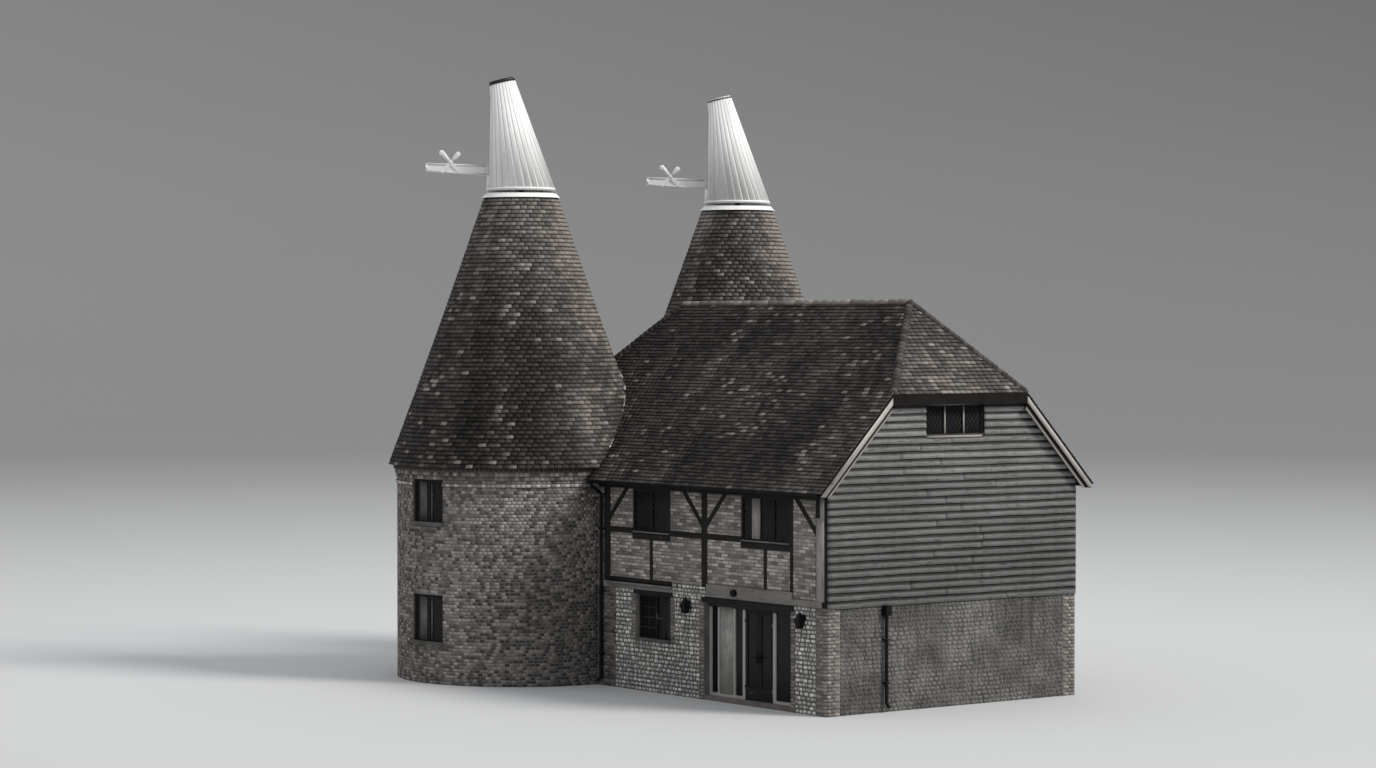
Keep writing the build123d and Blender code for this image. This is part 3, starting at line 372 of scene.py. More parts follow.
def group_of(name, inputs, outputs):
    """A new shader node group, with a net, its inputs' sources and its output node's sockets. An input's
    default tells its kind: four numbers are a colour, three a vector and one a value."""
    group = bpy.data.node_groups.new(name, "ShaderNodeTree")
    for label, value in inputs.items():
        kind = {4: "Color", 3: "Vector", 1: "Float"}[np.size(value)]
        socket = group.interface.new_socket(name=label, in_out="INPUT", socket_type="NodeSocket" + kind)
        socket.default_value = value
    for label, kind in outputs.items():
        group.interface.new_socket(name=label, in_out="OUTPUT", socket_type="NodeSocket" + kind)
    given = group.nodes.new("NodeGroupInput").outputs
    return group, Net(group), given, group.nodes.new("NodeGroupOutput").inputs


def weather_group():
    """Dirt, rain streaks and lichen laid over a colour: broad and fine noise darken it, narrow vertical
    noise streaks it, and the peaks of a clumped noise turn to lichen."""
    inputs = {"Color": (0.5, 0.5, 0.5, 1), "Place": (0, 0, 0), "Dirt": 0.5, "Streaks": 0.3, "Lichen": 0.2,
              "Lichen Color": (0.4, 0.39, 0.33, 1), "Patches": 1.6}
    group, net, given, out = group_of("weather", inputs, {"Color": "Color", "Height": "Float"})
    place = given["Place"]
    broad = net.noise(place, 0.55, 5, 0.6)
    fine = net.noise(place, 9.0, 6, 0.65)
    dark = net.span(net.plus(broad, net.times(fine, 0.5)), 0.55, 1.0, 1.0, 0.0)
    streak = net.span(net.noise(net.stretched(place, (7, 7, 0.45)), 1.0, 3, 0.5), 0.5, 0.72)
    color = net.mix(net.times(dark, given["Dirt"], True), given["Color"], (0.2, 0.19, 0.17, 1), "MULTIPLY")
    color = net.mix(net.times(streak, given["Streaks"], True), color, (0.3, 0.29, 0.27, 1), "MULTIPLY")
    clump = net.plus(net.noise(place, given["Patches"], 2, 0.5), net.times(net.noise(place, 15, 5, 0.7), 0.8))
    limit = net.math("SUBTRACT", 1.2, net.times(given["Lichen"], 0.35))
    spots = net.times(net.math("SUBTRACT", clump, limit), 9, True)
    net.feed(net.mix(net.times(spots, 0.7), color, given["Lichen Color"]), out["Color"])
    net.feed(net.plus(fine, net.times(spots, 0.4)), out["Height"])
    return group


def grain_group():
    """Wood grain: noise drawn out along one axis, with finer lines across it and dark checks."""
    inputs = {"Place": (0, 0, 0), "Stretch": (10, 10, 0.6)}
    group, net, given, out = group_of("grain", inputs, {"Grain": "Float", "Checks": "Float"})
    drawn = net.stretched(given["Place"], given["Stretch"])
    coarse = net.times(net.noise(drawn, 1.4, 5, 0.6, 0.6), 0.6)
    fine = net.times(net.noise(drawn, 7.0, 4, 0.7, 0.2), 0.4)
    net.feed(net.plus(coarse, fine), out["Grain"])
    net.feed(net.span(net.noise(drawn, 3.1, 3, 0.5, 1.0), 0.6, 0.68), out["Checks"])
    return group


# Stretch of a grain along each axis: it runs along the one with the smallest number
UPRIGHT = (12, 12, 0.6)
LEVEL = (0.6, 12, 12)
CLOSE = (6, 6, 6)

# Faint hues that multiply a grey
FIRED = (1.0, 0.9, 0.83)
SAND = (1.0, 0.97, 0.92)
OAK = (1.0, 0.94, 0.88)
GREY = (1.0, 0.99, 0.97)
EVEN = (1.0, 1.0, 1.0)

WEATHER = weather_group()
GRAIN = grain_group()
FINISHES = {}


def tinted(hue, grey):
    return (*(grey * part for part in hue), 1)


def start_finish(name, rough, gloss=0.12):
    """A material's net and its shader's inputs, and the Object coordinates that every pattern reads."""
    material = bpy.data.materials.new(name)
    material.use_nodes = True
    FINISHES[name] = material
    net = Net(material.node_tree)
    shader = material.node_tree.nodes["Principled BSDF"].inputs
    shader["Roughness"].default_value = rough
    shader["Specular IOR Level"].default_value = gloss
    return net, shader, net.outputs("TexCoord", {})["Object"]


def close_finish(net, shader, color, height, bump):
    """Set or link the colour, and link the height through a bump node."""
    net.feed(color, shader["Base Color"])
    relief = net.outputs("Bump", {"Strength": bump, "Distance": 0.01, "Height": height})
    net.feed(relief["Normal"], shader["Normal"])


def weathered(net, place, color, dirt, streaks, lichen, **more):
    inputs = {"Color": color, "Place": place, "Dirt": dirt, "Streaks": streaks, "Lichen": lichen}
    inputs.update({key.replace("_", " "): value for key, value in more.items()})
    return net.outputs("Group", inputs, node_tree=WEATHER)


def grained(net, place, stretch):
    wood = net.outputs("Group", {"Place": place, "Stretch": stretch}, node_tree=GRAIN)
    return wood["Grain"], wood["Checks"]


def toned(net, hue, shades):
    """A colour from each piece's own tone, through a ramp of (place, grey)."""
    ramp = net.tree.nodes.new("ShaderNodeValToRGB")
    stops = ramp.color_ramp.elements
    while len(stops) < len(shades):
        stops.new(0.5)
    for stop, (at, grey) in zip(stops, shades):
        stop.position = at
        stop.color = tinted(hue, grey)
    net.feed(net.attribute("tone"), ramp.inputs["Fac"])
    return ramp.outputs["Color"]


def shade_and_dirt_in_laps(net, color, share, low, high):
    """Darken a colour where the lap value passes from low to high: painted shade under laps and in joints,
    with the dirt and damp that gather there.
    """
    if not share:
        return color
    lap = net.span(net.attribute("lap"), low, high, 0.0, share)
    return net.mix(lap, color, (0.16, 0.15, 0.14, 1), "MULTIPLY")


def masonry(name, hue, shades, dirt, streaks=0.2, lichen_grey=0.3, patches=1.6, lap=0.0,
            lap_range=(0.4, 0.66)):
    """Bricks, stones and tiles: each unit has its own tone, weathered as one surface."""
    net, shader, place = start_finish(name, 0.9)
    worn = weathered(net, place, toned(net, hue, shades), dirt, streaks, 0.1,
                     Lichen_Color=tinted(SAND, lichen_grey), Patches=patches)
    close_finish(net, shader, shade_and_dirt_in_laps(net, worn["Color"], lap, *lap_range), worn["Height"], 0.5)


def plain(name, hue, grey, rough=0.85, dirt=0.4, streaks=0.2, lichen=0.0, bump=0.3, spread=0.25):
    """One colour with broken tone, for joints, plaster, lead and iron."""
    net, shader, place = start_finish(name, rough)
    patch = net.span(net.noise(place, 3.0, 5, 0.6), 0.35, 0.65)
    base = net.mix(patch, tinted(hue, grey * (1 - spread)), tinted(hue, grey * (1 + spread)))
    worn = weathered(net, place, base, dirt, streaks, lichen)
    close_finish(net, shader, worn["Color"], worn["Height"], bump)


def timber(name, hue, dark, light, stretch, rough=0.8, dirt=0.35, checks=0.7, by_tone=(), bump=0.6,
           lap=0.0, lap_range=(0.38, 0.6), gloss=0.12):
    """Timber with its grain along the short component of stretch."""
    net, shader, place = start_finish(name, rough, gloss)
    grain, cracks = grained(net, place, stretch)
    base = net.mix(grain, tinted(hue, dark), tinted(hue, light))
    if by_tone:
        base = net.mix(1.0, base, toned(net, EVEN, by_tone), "MULTIPLY")
    base = net.mix(net.times(cracks, checks), base, tinted(hue, dark * 0.35))
    color = weathered(net, place, base, dirt, 0.15, 0.0)["Color"]
    height = net.math("SUBTRACT", net.times(grain, 0.8), cracks)
    close_finish(net, shader, shade_and_dirt_in_laps(net, color, lap, *lap_range), height, bump)


def painted_shade_above_level(name, rises, level, over, dark, pale):
    """Timber that is pale below a level and dark above it, the dark being painted shade under the verge tiles
    or under a beam. The level is measured along z plus a share of the distance from the ridge, so that it can
    also follow the slope of the roof."""
    net, shader, place = start_finish(name, 0.8)
    grain, cracks = grained(net, place, CLOSE)
    where = net.outputs("SeparateXYZ", {0: place})
    sideways = net.times(net.math("ABSOLUTE", where["Y"]), rises)
    above = net.span(net.plus(where["Z"], sideways), level, level + over)
    shade = net.mix(grain, tinted(OAK, pale * 0.7), tinted(OAK, pale * 1.3))
    close_finish(net, shader, net.mix(above, shade, tinted(OAK, dark)), grain, 0.4)


def window_glass():
    """Old glass, see-through in part, with a faint wave in its surface. Its near-black colour is painted
    shade of the dark rooms behind it.
    """
    net, shader, place = start_finish("glass", 0.12, 0.08)
    shader["Transmission Weight"].default_value = 0.22
    shader["IOR"].default_value = 1.4
    close_finish(net, shader, (0.01, 0.011, 0.012, 1), net.noise(place, 5.0, 2, 0.5), 0.12)


def fillet():
    """The valley's fillet: dark weathered mortar with pale broken spots, more of them near the top."""
    net, shader, place = start_finish("old_fillet", 0.9)
    spots = net.noise(place, 3.4, 4, 0.6)
    rise = net.span(net.outputs("SeparateXYZ", {0: place})["Z"], 4.8, 7.4, -0.05, 0.12)
    share = net.span(net.plus(spots, rise), 0.56, 0.62)
    close_finish(net, shader, net.mix(share, tinted(SAND, 0.06), tinted(SAND, 0.72)), spots, 0.5)


def make_finishes():
    """Every finish, named as the record's material slots where they match one."""
    # The lap shares paint shade under the tiles' laps, under each board above, in the staves' grooves and
    # round the stones, with dirt
    masonry("tile", FIRED, ((0.0, 0.028), (0.3, 0.062), (0.6, 0.13), (1.0, 0.36)), dirt=0.35, streaks=0.1,
            lichen_grey=0.24, patches=2.3, lap=0.9, lap_range=(0.38, 0.6))
    masonry("brick", FIRED, ((0.0, 0.06), (0.35, 0.18), (0.75, 0.35), (1.0, 0.56)), dirt=0.25)
    masonry("stone", SAND, ((0.0, 0.34), (0.5, 0.56), (1.0, 0.86)), dirt=0.3, lap=0.65)
    # Low greys for the limewashed gable foot: painted shade, as it stands in shadow; the limewash's patches
    # are in the tones
    masonry("washed_stone", SAND, ((0.0, 0.08), (0.5, 0.125), (1.0, 0.21)), dirt=0.5, streaks=0.5, lap=0.1)
    timber("weatherboard", GREY, 0.14, 0.44, (12, 1.6, 12), lap=0.97,
           by_tone=((0.0, 0.62), (0.5, 0.82), (1.0, 1.4)))
    timber("oak_upright", OAK, 0.01, 0.034, UPRIGHT)
    timber("oak_level", OAK, 0.01, 0.036, LEVEL)
    timber("pale_timber", OAK, 0.14, 0.31, LEVEL)
    timber("pale_upright", OAK, 0.26, 0.5, UPRIGHT)
    timber("verge_boards", OAK, 0.34, 0.66, (6, 0.6, 0.6))
    timber("floor_boards", OAK, 0.08, 0.2, (0.5, 9, 9), dirt=0.2, checks=0.4)
    timber("beam_wood", OAK, 0.09, 0.22, CLOSE)
    timber("dark_frames", OAK, 0.008, 0.026, (9, 9, 1.2), rough=0.6, dirt=0.15, checks=0.2)
    timber("white_boards", GREY, 0.76, 0.88, UPRIGHT, rough=0.5, dirt=0.06, checks=0.1, bump=0.25, gloss=0.4,
           lap=0.85, lap_range=(0.05, 0.6), by_tone=((0.0, 0.62), (0.5, 0.9), (1.0, 1.12)))
    timber("white_paint", GREY, 0.76, 0.86, CLOSE, rough=0.5, dirt=0.1, checks=0.1, bump=0.2, gloss=0.4)
    timber("worn_paint", GREY, 0.6, 0.76, CLOSE, rough=0.6, dirt=0.2, checks=0.2, bump=0.2, gloss=0.3)
    # The barge is dark in its upper part, painted shade under the verge tiles; the screen is dark at its
    # head, painted shade under the door beam
    painted_shade_above_level("barge", SLOPE, RIDGE_Z - 0.225 / math.cos(SLOPE_PITCH), 0.02, 0.015, 0.24)
    painted_shade_above_level("screen_timber", 0.0, 2.0, 0.01, 0.045, 0.38)
    plain("mortar", SAND, 0.19, dirt=0.5, bump=0.6)
    # Darker than the other mortar: painted shade on the gable foot
    plain("washed_mortar", SAND, 0.125, dirt=0.5, streaks=0.5, bump=0.6, spread=0.4)
    plain("clay", FIRED, 0.08)
    # Near black: painted shade on the slabs' edges and undersides under the tiles, wherever they show
    plain("tile_bed", FIRED, 0.011, dirt=0.3)
    plain("lead", GREY, 0.03, rough=0.6, dirt=0.2, streaks=0.3)
    plain("iron", GREY, 0.007, rough=0.5, dirt=0.1, bump=0.15)
    plain("sill", SAND, 0.13, lichen=0.15)
    plain("floor_brick", FIRED, 0.17, dirt=0.3)
    plain("came", GREY, 0.035, rough=0.5, dirt=0.1, bump=0.1)
    plain("painted_panel", SAND, 0.34, rough=0.6, dirt=0.25, bump=0.1)
    fillet()
    window_glass()


make_finishes()

NODE_FINISHES = {
    "mortar": "kiln_walls_1 kiln_walls_2 front_wall back_wall link_wall brick_infill",
    "washed_mortar": "gable_foot_wall",
    "tile_bed": "kiln_roofs roof_front roof_back roof_hips gable_wall",
    "clay": "ridge_caps",
    "white_paint": "cowl_curbs cowl_a_shell cowl_a_finger cowl_a_ornament "
                   "cowl_b_shell cowl_b_finger cowl_b_ornament",
    "lead": "cowl_a_cap",
    "worn_paint": "cowl_b_cap",
    "beam_wood": "cowl_beams cowl_a_frame cowl_b_frame",
    "oak_level": "lintels frame_rails wall_plates",
    "oak_upright": "frame_posts frame_braces",
    "pale_timber": "bressummers",
    "barge": "barge_boards",
    "floor_brick": "ground_floors",
    "floor_boards": "upper_floors attic_floor",
    "dark_frames": "window_frames door_left door_right",
    "screen_timber": "screen_frame",
    "sill": "window_sills",
    "glass": "window_glass door_left_glass door_right_glass",
    "iron": "gutters downpipes wall_lanterns",
}


def dress_nodes():
    """Give each CAD node its finish."""
    for finish, names in NODE_FINISHES.items():
        for name in names.split():
            slots = frame["nodes"][name].data.materials
            slots.clear()
            slots.append(FINISHES[finish])


# Roof tiles

def cone_radius(kiln, z):
    """The cone's outside: straight from eave to ring, less a shallow hollow that is deepest half way up."""
    t = (z - DRUM_TOP) / (kiln.ring_z - DRUM_TOP)
    return CONE_EAVE + (CONE_RING - CONE_EAVE) * t - 4 * CONE_HOLLOW * t * (1 - t)


def in_kiln(points, margin):
    """Whether points lie inside either kiln by more than a margin."""
    x, y, z = points.T
    inside = np.zeros(len(points), bool)
    for kiln in KILNS:
        radius = np.where(z > DRUM_TOP, cone_radius(kiln, z), DRUM_RADIUS)
        inside |= np.hypot(x - kiln.x, y - kiln.y) < radius - margin
    return inside


def under_slopes(points, margin):
    """Whether points lie under all four slopes by more than a margin, above the eaves."""
    x, y, z = points.T
    level = z + margin
    low = level < EAVE_Z + (-EAVE_Y - np.abs(y)) * SLOPE
    low &= level < HALF_HIP_Z + (VERGE_X - x) * math.tan(HALF_HIP_PITCH)
    low &= level < EAVE_Z + (x - KILN_HIP_X) * math.tan(KILN_HIP_PITCH)
    return low & (z > EAVE_Z)


def tile_rings(tail_left, tail_right, head_left, head_right, normal):
    """Thin slabs that lap like tiles: the tail stands off the slope by a random lift, the head lies in it."""
    count = len(tail_left)
    lift = 0.016 + RANDOM.random(count) * 0.007
    tilt = (RANDOM.random(count) - 0.5) * 0.006
    lifts = np.stack([lift + tilt, lift - tilt, np.full(count, 0.002), np.full(count, 0.002)], 1)[..., None]
    ring = np.stack([tail_left, tail_right, head_right, head_left], 1)
    return np.stack([ring + normal[:, None] * (lifts - TILE_THICK), ring + normal[:, None] * lifts], 1)


def cloud(u, v, cell, tall, around=64):
    """Smooth noise from 0 to 1: random values at the corners of a grid of cells, blended across each cell.
    The grid repeats after a number of cells, which closes it round a cone."""
    corners = RANDOM.random((around, 64))
    across, along = u / cell, v / tall
    i, j = np.floor(across).astype(int), np.floor(along).astype(int)
    s, t = (part * part * (3 - 2 * part) for part in (across - i, along - j))
    near, far, low, high = i % around, (i + 1) % around, j % 64, (j + 1) % 64
    return ((corners[near, low] * (1 - s) + corners[far, low] * s) * (1 - t)
            + (corners[near, high] * (1 - s) + corners[far, high] * s) * t)


def tile_tones(u, climb, base, closed=False, pale_share=0.05):
    """A tone for each tile: streaks that run down the slope, broader drifts, a small draw of its own, and
    a few pale tiles in clusters."""
    runs, drifts, clusters = (cloud(u, climb, cell, tall, round(CIRCLE / cell) if closed else 64)
                              for cell, tall in ((0.5, 3.0), (1.5, 1.2), (0.75, 0.6)))
    own, chance = RANDOM.random(len(u)), RANDOM.random(len(u))
    tone = base + 0.34 * (own - 0.5) + 0.34 * (runs - 0.5) + 0.36 * (drifts - 0.5)
    pale = chance < pale_share * (0.2 + 4 * clusters ** 3)
    return np.clip(tone + pale * (0.2 + 0.4 * RANDOM.random(len(u))), 0, 1)


def cone_tiles(kiln):
    """Tiles in rings up the cone. Each ring holds as many as fit; a tile's ends lie on the cone's outline."""
    rise = kiln.ring_z - DRUM_TOP
    slant = math.hypot(rise, CONE_EAVE - CONE_RING)
    courses = round(slant / TILE_GAUGE)
    rings = []
    centres = []
    for course in range(courses):
        low = DRUM_TOP + rise * course / courses
        high = min(low + rise * TILE_LENGTH / slant, kiln.ring_z)
        tail, head = cone_radius(kiln, low), cone_radius(kiln, high)
        count = round(2 * math.pi * tail / TILE_WIDTH)
        turn = 2 * math.pi / count
        angle = (np.arange(count) + 0.5 * (course % 2) + 0.08 * (RANDOM.random(count) - 0.5)) * turn
        sides = (angle - turn * 0.485, angle + turn * 0.485)
        drop = (RANDOM.random(count) - 0.5) * 0.008
        lean = math.atan2(tail - head, high - low)
        normal = np.stack([np.cos(angle) * math.cos(lean), np.sin(angle) * math.cos(lean),
                           np.full(count, math.sin(lean))], 1)
        ring = tile_rings(*(kiln.at(tail, side, low + drop) for side in sides),
                          *(kiln.at(head, side, high) for side in sides), normal)
        keep = ~under_slopes(kiln.at(tail, angle, low), 0.09)
        rings.append(ring[keep])
        centres.append(np.stack([angle[keep] % (2 * math.pi), np.full(keep.sum(), low)], 1))
    angle, z = np.concatenate(centres).T
    paler_and_painted_light = 0.38 + 0.18 * np.clip((z - 8.2) / 2.2, 0, 1)
    # Painted light: the tiles on the side towards the lamp are paler
    paler_and_painted_light += 0.36 * np.clip(np.cos(angle - CONE_PAINTED_LIGHT_SIDE), 0, 1) ** 2
    if kiln.letter == "b":
        paler_and_painted_light += 0.15
    tone = tile_tones(angle / (2 * math.pi) * CIRCLE, z, paler_and_painted_light, True, 0.07)
    if kiln.letter == "b":
        mended = (np.abs((angle - MENDED_HEADING + math.pi) % (2 * math.pi) - math.pi) < 0.09)
        mended &= (z > kiln.ring_z - 1.9) & (RANDOM.random(len(z)) < 0.8)
        tone[mended] = 0.8 + 0.2 * RANDOM.random(mended.sum())
    add_prisms(f"cone_tiles_{kiln.letter}", np.concatenate(rings), "tile", tone, TILE_LAP)


def slope_tiles(name, eave, right, pitch, reach, top_z, base):
    """Tiles in straight courses up one slope, cut to reach(z), the slope's two ends at each height. The slope
    climbs inwards, square to its right."""
    eave, right = np.array(eave, float), np.array(right, float)
    up = np.array((-right[1] * math.cos(pitch), right[0] * math.cos(pitch), math.sin(pitch)))
    normal = np.cross(right, up)
    top = (top_z - eave[2]) / up[2]
    rings = []
    centres = []
    for course in range(int(top / TILE_GAUGE + 0.5)):
        tail = course * TILE_GAUGE
        head = min(tail + TILE_LENGTH, top)
        ends = [reach(eave[2] + s * up[2]) for s in (tail, head)]
        start = ends[0][0] - TILE_WIDTH * (0.5 if course % 2 else 0)
        left = start + np.arange(int((ends[0][1] - start) / TILE_WIDTH) + 1) * TILE_WIDTH
        left = left + (RANDOM.random(len(left)) - 0.5) * 0.004
        corners = []
        for edge in (left + 0.002, left + TILE_WIDTH - 0.002):
            for s, (low, high) in zip((tail, head), ends):
                corners.append(eave + np.clip(edge, low, high)[:, None] * right + s * up)
        tail_left, head_left, tail_right, head_right = corners
        droop = (RANDOM.random(len(left)) - 0.5)[:, None] * 0.008 * up
        centre = (tail_left + tail_right) / 2
        keep = np.linalg.norm(tail_right - tail_left, axis=1) > 0.02
        keep &= ~in_kiln(centre, 0.07)
        ring = tile_rings(tail_left + droop, tail_right + droop, head_left, head_right,
                          np.tile(normal, (len(left), 1)))
        rings.append(ring[keep])
        centres.append(centre[keep])
    centre = np.concatenate(centres)
    tone = tile_tones(centre @ right + 40, centre @ up + 20, base)
    add_prisms(name, np.concatenate(rings), "tile", tone, TILE_LAP)


def kiln_end(z):
    return KILN_HIP_X + (z - EAVE_Z) / math.tan(KILN_HIP_PITCH)


def gable_end(z):
    return min(VERGE_X, VERGE_X - (z - HALF_HIP_Z) / math.tan(HALF_HIP_PITCH))


def half_width(z):
    return (RIDGE_Z - z) / SLOPE


def barn_tiles():
    """The four slopes, each from its eave with its right along the eave."""
    slope_tiles("tiles_front", (0, EAVE_Y, EAVE_Z), (1, 0, 0), SLOPE_PITCH,
                lambda z: (kiln_end(z), gable_end(z)), RIDGE_Z - 0.03, 0.39)
    slope_tiles("tiles_back", (0, -EAVE_Y, EAVE_Z), (-1, 0, 0), SLOPE_PITCH,
                lambda z: (-gable_end(z), -kiln_end(z)), RIDGE_Z - 0.03, 0.38)
    # The half-hip's tiles get a paler base tone: painted light on the slope that faces the lamp
    slope_tiles("tiles_half_hip", (VERGE_X, 0, HALF_HIP_Z), (0, 1, 0), HALF_HIP_PITCH,
                lambda z: (-half_width(z), half_width(z)), RIDGE_Z - 0.06, 0.47)
    slope_tiles("tiles_kiln_hip", (KILN_HIP_X, 0, EAVE_Z), (0, -1, 0), KILN_HIP_PITCH,
                lambda z: (-half_width(z), half_width(z)), RIDGE_Z - 0.06, 0.38)


def cap_rings(low, high, pitch, step):
    """Half-round caps from a low end to a high one, each lapping the next: an eight-sided ring,
    round above and flat below, that narrows towards its head."""
    low, high = np.array(low, float), np.array(high, float)
    length = np.linalg.norm(high - low)
    along = (high - low) / length
    side = np.cross(along, UP)
    side /= np.linalg.norm(side)
    up = np.cross(side, along)
    angle = np.radians(np.linspace(-112, 112, 8))[:, None]
    ring = np.cos(angle) * up + np.sin(angle) * side
    count = round(length / pitch)
    start = np.arange(count) / count * length
    lift = (RANDOM.random(count) - 0.5) * 0.006 - CAP_DROP
    rings = []
    for share, radius in ((0.0, CAP_RADIUS + step), (length / count + 0.03, CAP_RADIUS)):
        centre = low + (start + share)[:, None] * along + lift[:, None] * up
        rings.append(centre[:, None] + radius * ring)
    return np.stack(rings, 1)


def ridge_and_hips():
    """Long half-round ridge tiles, and shorter bonnets down the hips, one to a course or so."""
    left = (kiln_end(RIDGE_Z), 0, RIDGE_Z)
    right = (gable_end(RIDGE_Z), 0, RIDGE_Z)
    sets = [cap_rings(left, right, 0.32, 0.008)]
    for side in (-1, 1):
        foot = (VERGE_X - 0.03, side * half_width(HALF_HIP_Z + 0.03), HALF_HIP_Z + 0.03)
        sets.append(cap_rings(foot, right, 0.13, 0.016))
        caps = cap_rings((kiln_end(EAVE_Z), side * half_width(EAVE_Z), EAVE_Z), left, 0.13, 0.016)
        sets.append(caps[~in_kiln(caps[:, 0].mean(1), 0.0)])
    rings = np.concatenate(sets)
    tone = np.where(np.arange(len(rings)) < len(sets[0]), 0.7, 0.2) + 0.3 * RANDOM.random(len(rings))
    add_prisms("ridge_tiles", rings, "tile", tone)


def verge_strips():
    """The pale edging under the verge tiles: a strip on the roof's edge, down both slopes from the half-hip,
    between two depths below the slope and cut level at its foot."""
    rings = []
    for side in (-1, 1):
        section = []
        for level in (EAVE_Z - 0.06, None):
            corners = []
            for x, drop in ((-0.004, 0.148), (0.008, 0.148), (0.008, 0.05), (-0.004, 0.05)):
                fall = drop / math.cos(SLOPE_PITCH)
                y = half_width(HALF_HIP_Z) + 0.01 if level is None else half_width(fall + level)
                corners.append((VERGE_X + x, side * y, RIDGE_Z - y * SLOPE - fall))
            section.append(corners)
        rings.append(section[::side])
    add_prisms("verge_strips", rings, "verge_boards", slot="weatherboard")


def valley(kiln):
    """A fillet of mortar and lead where a cone comes through the barn's slope: six points carried along
    the line where the cone's circle at each height meets the slope's plane."""
    z = np.linspace(EAVE_Z + 0.28, RIDGE_Z, 400)
    y = kiln.side * half_width(z)
    reach = cone_radius(kiln, z) ** 2 - (y - kiln.y) ** 2
    x = kiln.x + np.sqrt(np.maximum(reach, 0))
    on_slope = (reach > 0.01) & (x > kiln_end(z) + 0.02)
    line = np.stack([x, y, z], 1)[on_slope]
    z = line[:, 2]
    outward = (line - (kiln.x, kiln.y, 0)) * (1, 1, 0)
    outward /= np.linalg.norm(outward, axis=1)[:, None]
    upward = outward * 0.33 + UP * 0.94
    slope_normal = np.array((0, kiln.side * math.sin(SLOPE_PITCH), math.cos(SLOPE_PITCH)))
    away = np.cross(np.gradient(line, axis=0), slope_normal)
    away /= np.linalg.norm(away, axis=1)[:, None]
    away *= np.sign((away * outward).sum(1))[:, None]
    width = (0.03 + 0.012 * np.sin(z * 23) + 0.008 * np.sin(z * 61))[:, None]
    ring = [line - outward * 0.03, line + upward * (width + 0.02), line + (upward + outward) * 0.035,
            line + away * (width + 0.01) + slope_normal * 0.025, line + away * width - slope_normal * 0.01,
            line - slope_normal * 0.03]
    rings = np.stack(ring, 1)[::6][None]
    add_prisms(f"valley_fillet_{kiln.letter}", rings[:, ::-kiln.side], "old_fillet", slot="lead")


# Walls

def drum_bricks(kiln):
    """Bricks laid end on round the kiln, with the string course and three corbel courses standing out. In the
    drum's own frame u is the arc length round the axis."""
    step = (DRUM_TOP - CORBEL_FOOT) / 3
    bands = [(0.0, STRING_FOOT, 0.0, BRICK_RISE), (STRING_FOOT, STRING_TOP, COURSE_STEP, BRICK_RISE),
             (STRING_TOP, CORBEL_FOOT, 0.0, BRICK_RISE)]
    bands += [(CORBEL_FOOT + k * step, CORBEL_FOOT + (k + 1) * step, (k + 1) * COURSE_STEP, step)
              for k in range(3)]
    rings = []
    for foot, head, proud, rise in bands:
        radius = DRUM_RADIUS + proud
        middle = kiln.window_angle * radius
        half = KILN_WINDOW_HALF * radius / DRUM_RADIUS
        holes = [(middle - half, middle + half, *levels) for levels in KILN_WINDOWS]
        ends = (middle - math.pi * radius, middle + math.pi * radius)
        units = laid(*ends, foot, head, rise, HEADER, holes, 0.06)
        rings.append(brick_rings(units, lambda u, z, d: kiln.at(radius + d, u / radius, z)))
    rings = np.concatenate(rings)
    x, y, z = rings[:, 1].mean(1).T
    angle = np.arctan2(y - kiln.y, x - kiln.x)
    drift = cloud((angle / (2 * math.pi) + 1) * CIRCLE, z, 1.5, 1.3, round(CIRCLE / 1.5)) - 0.5
    # Low on the side towards the barn the first drum's bricks are darker, painted shade from the barn with
    # some staining, and the second drum's paler
    barn_side = np.clip(np.cos(angle - BARN_SIDE_HEADING) * 2.2 - 1.3, 0, 1) * np.clip(1.6 - z / 3, 0, 1)
    tone = 0.06 + 0.78 * RANDOM.random(len(rings)) + 0.2 * drift + 0.34 * barn_side * kiln.side
    # The course under the eave is near black: painted shadow of the eave
    tone *= np.where(z > DRUM_TOP - step, 0.05, 1)
    tone += np.where((z > STRING_FOOT) & (z < STRING_TOP), 0.45, 0)
    add_prisms(f"drum_bricks_{kiln.letter}", rings, "brick", np.clip(tone, 0, 1))


def on_both_walls(low, high):
    """A stretch from front to back, inwards from the front wall's face, and its twin at the back wall."""
    return (FRONT_Y + low, FRONT_Y + high), (-FRONT_Y - high, -FRONT_Y - low)


def mirrored(opening):
    """An opening of the back wall in that wall's own frame, whose right is towards the kilns."""
    left, right, sill, head = opening
    return (-right, -left, sill, head)


def holes_round(openings):
    """Openings with the brick dressings at their sides, and the lintels over them."""
    holes = [(left - 0.15, right + 0.15, sill, head + 0.001) for left, right, sill, head in openings]
    return holes + [(left - 0.1, right + 0.1, head, STONE_TOP) for left, right, sill, head in openings]


LOWER_OPENINGS = ((FRONT, (LOWER_WINDOW, GLAZED_OPENING)),
                  (BACK, (mirrored(LOWER_WINDOW), mirrored(BACK_WINDOW))))


def infill_bricks():
    """Stretcher courses in the timber frame's panels, front and back; the timbers stand proud of them."""
    gaps = (*UPPER_WINDOWS, DOOR_BEAM)
    panels = (INFILL_END, GABLE_X - 0.15, BEAM_TOP, PLATE_FOOT)
    for name, place, turned in (("front", FRONT, tuple), ("back", BACK, mirrored)):
        units = laid(*turned(panels), BRICK_RISE, STRETCHER, [turned(gap) for gap in gaps], 0.04)
        rings = brick_rings(units, set_out(place, -INFILL_SETBACK))
        add_prisms(f"infill_bricks_{name}", rings, "brick", 0.3 + 0.7 * RANDOM.random(len(units)))


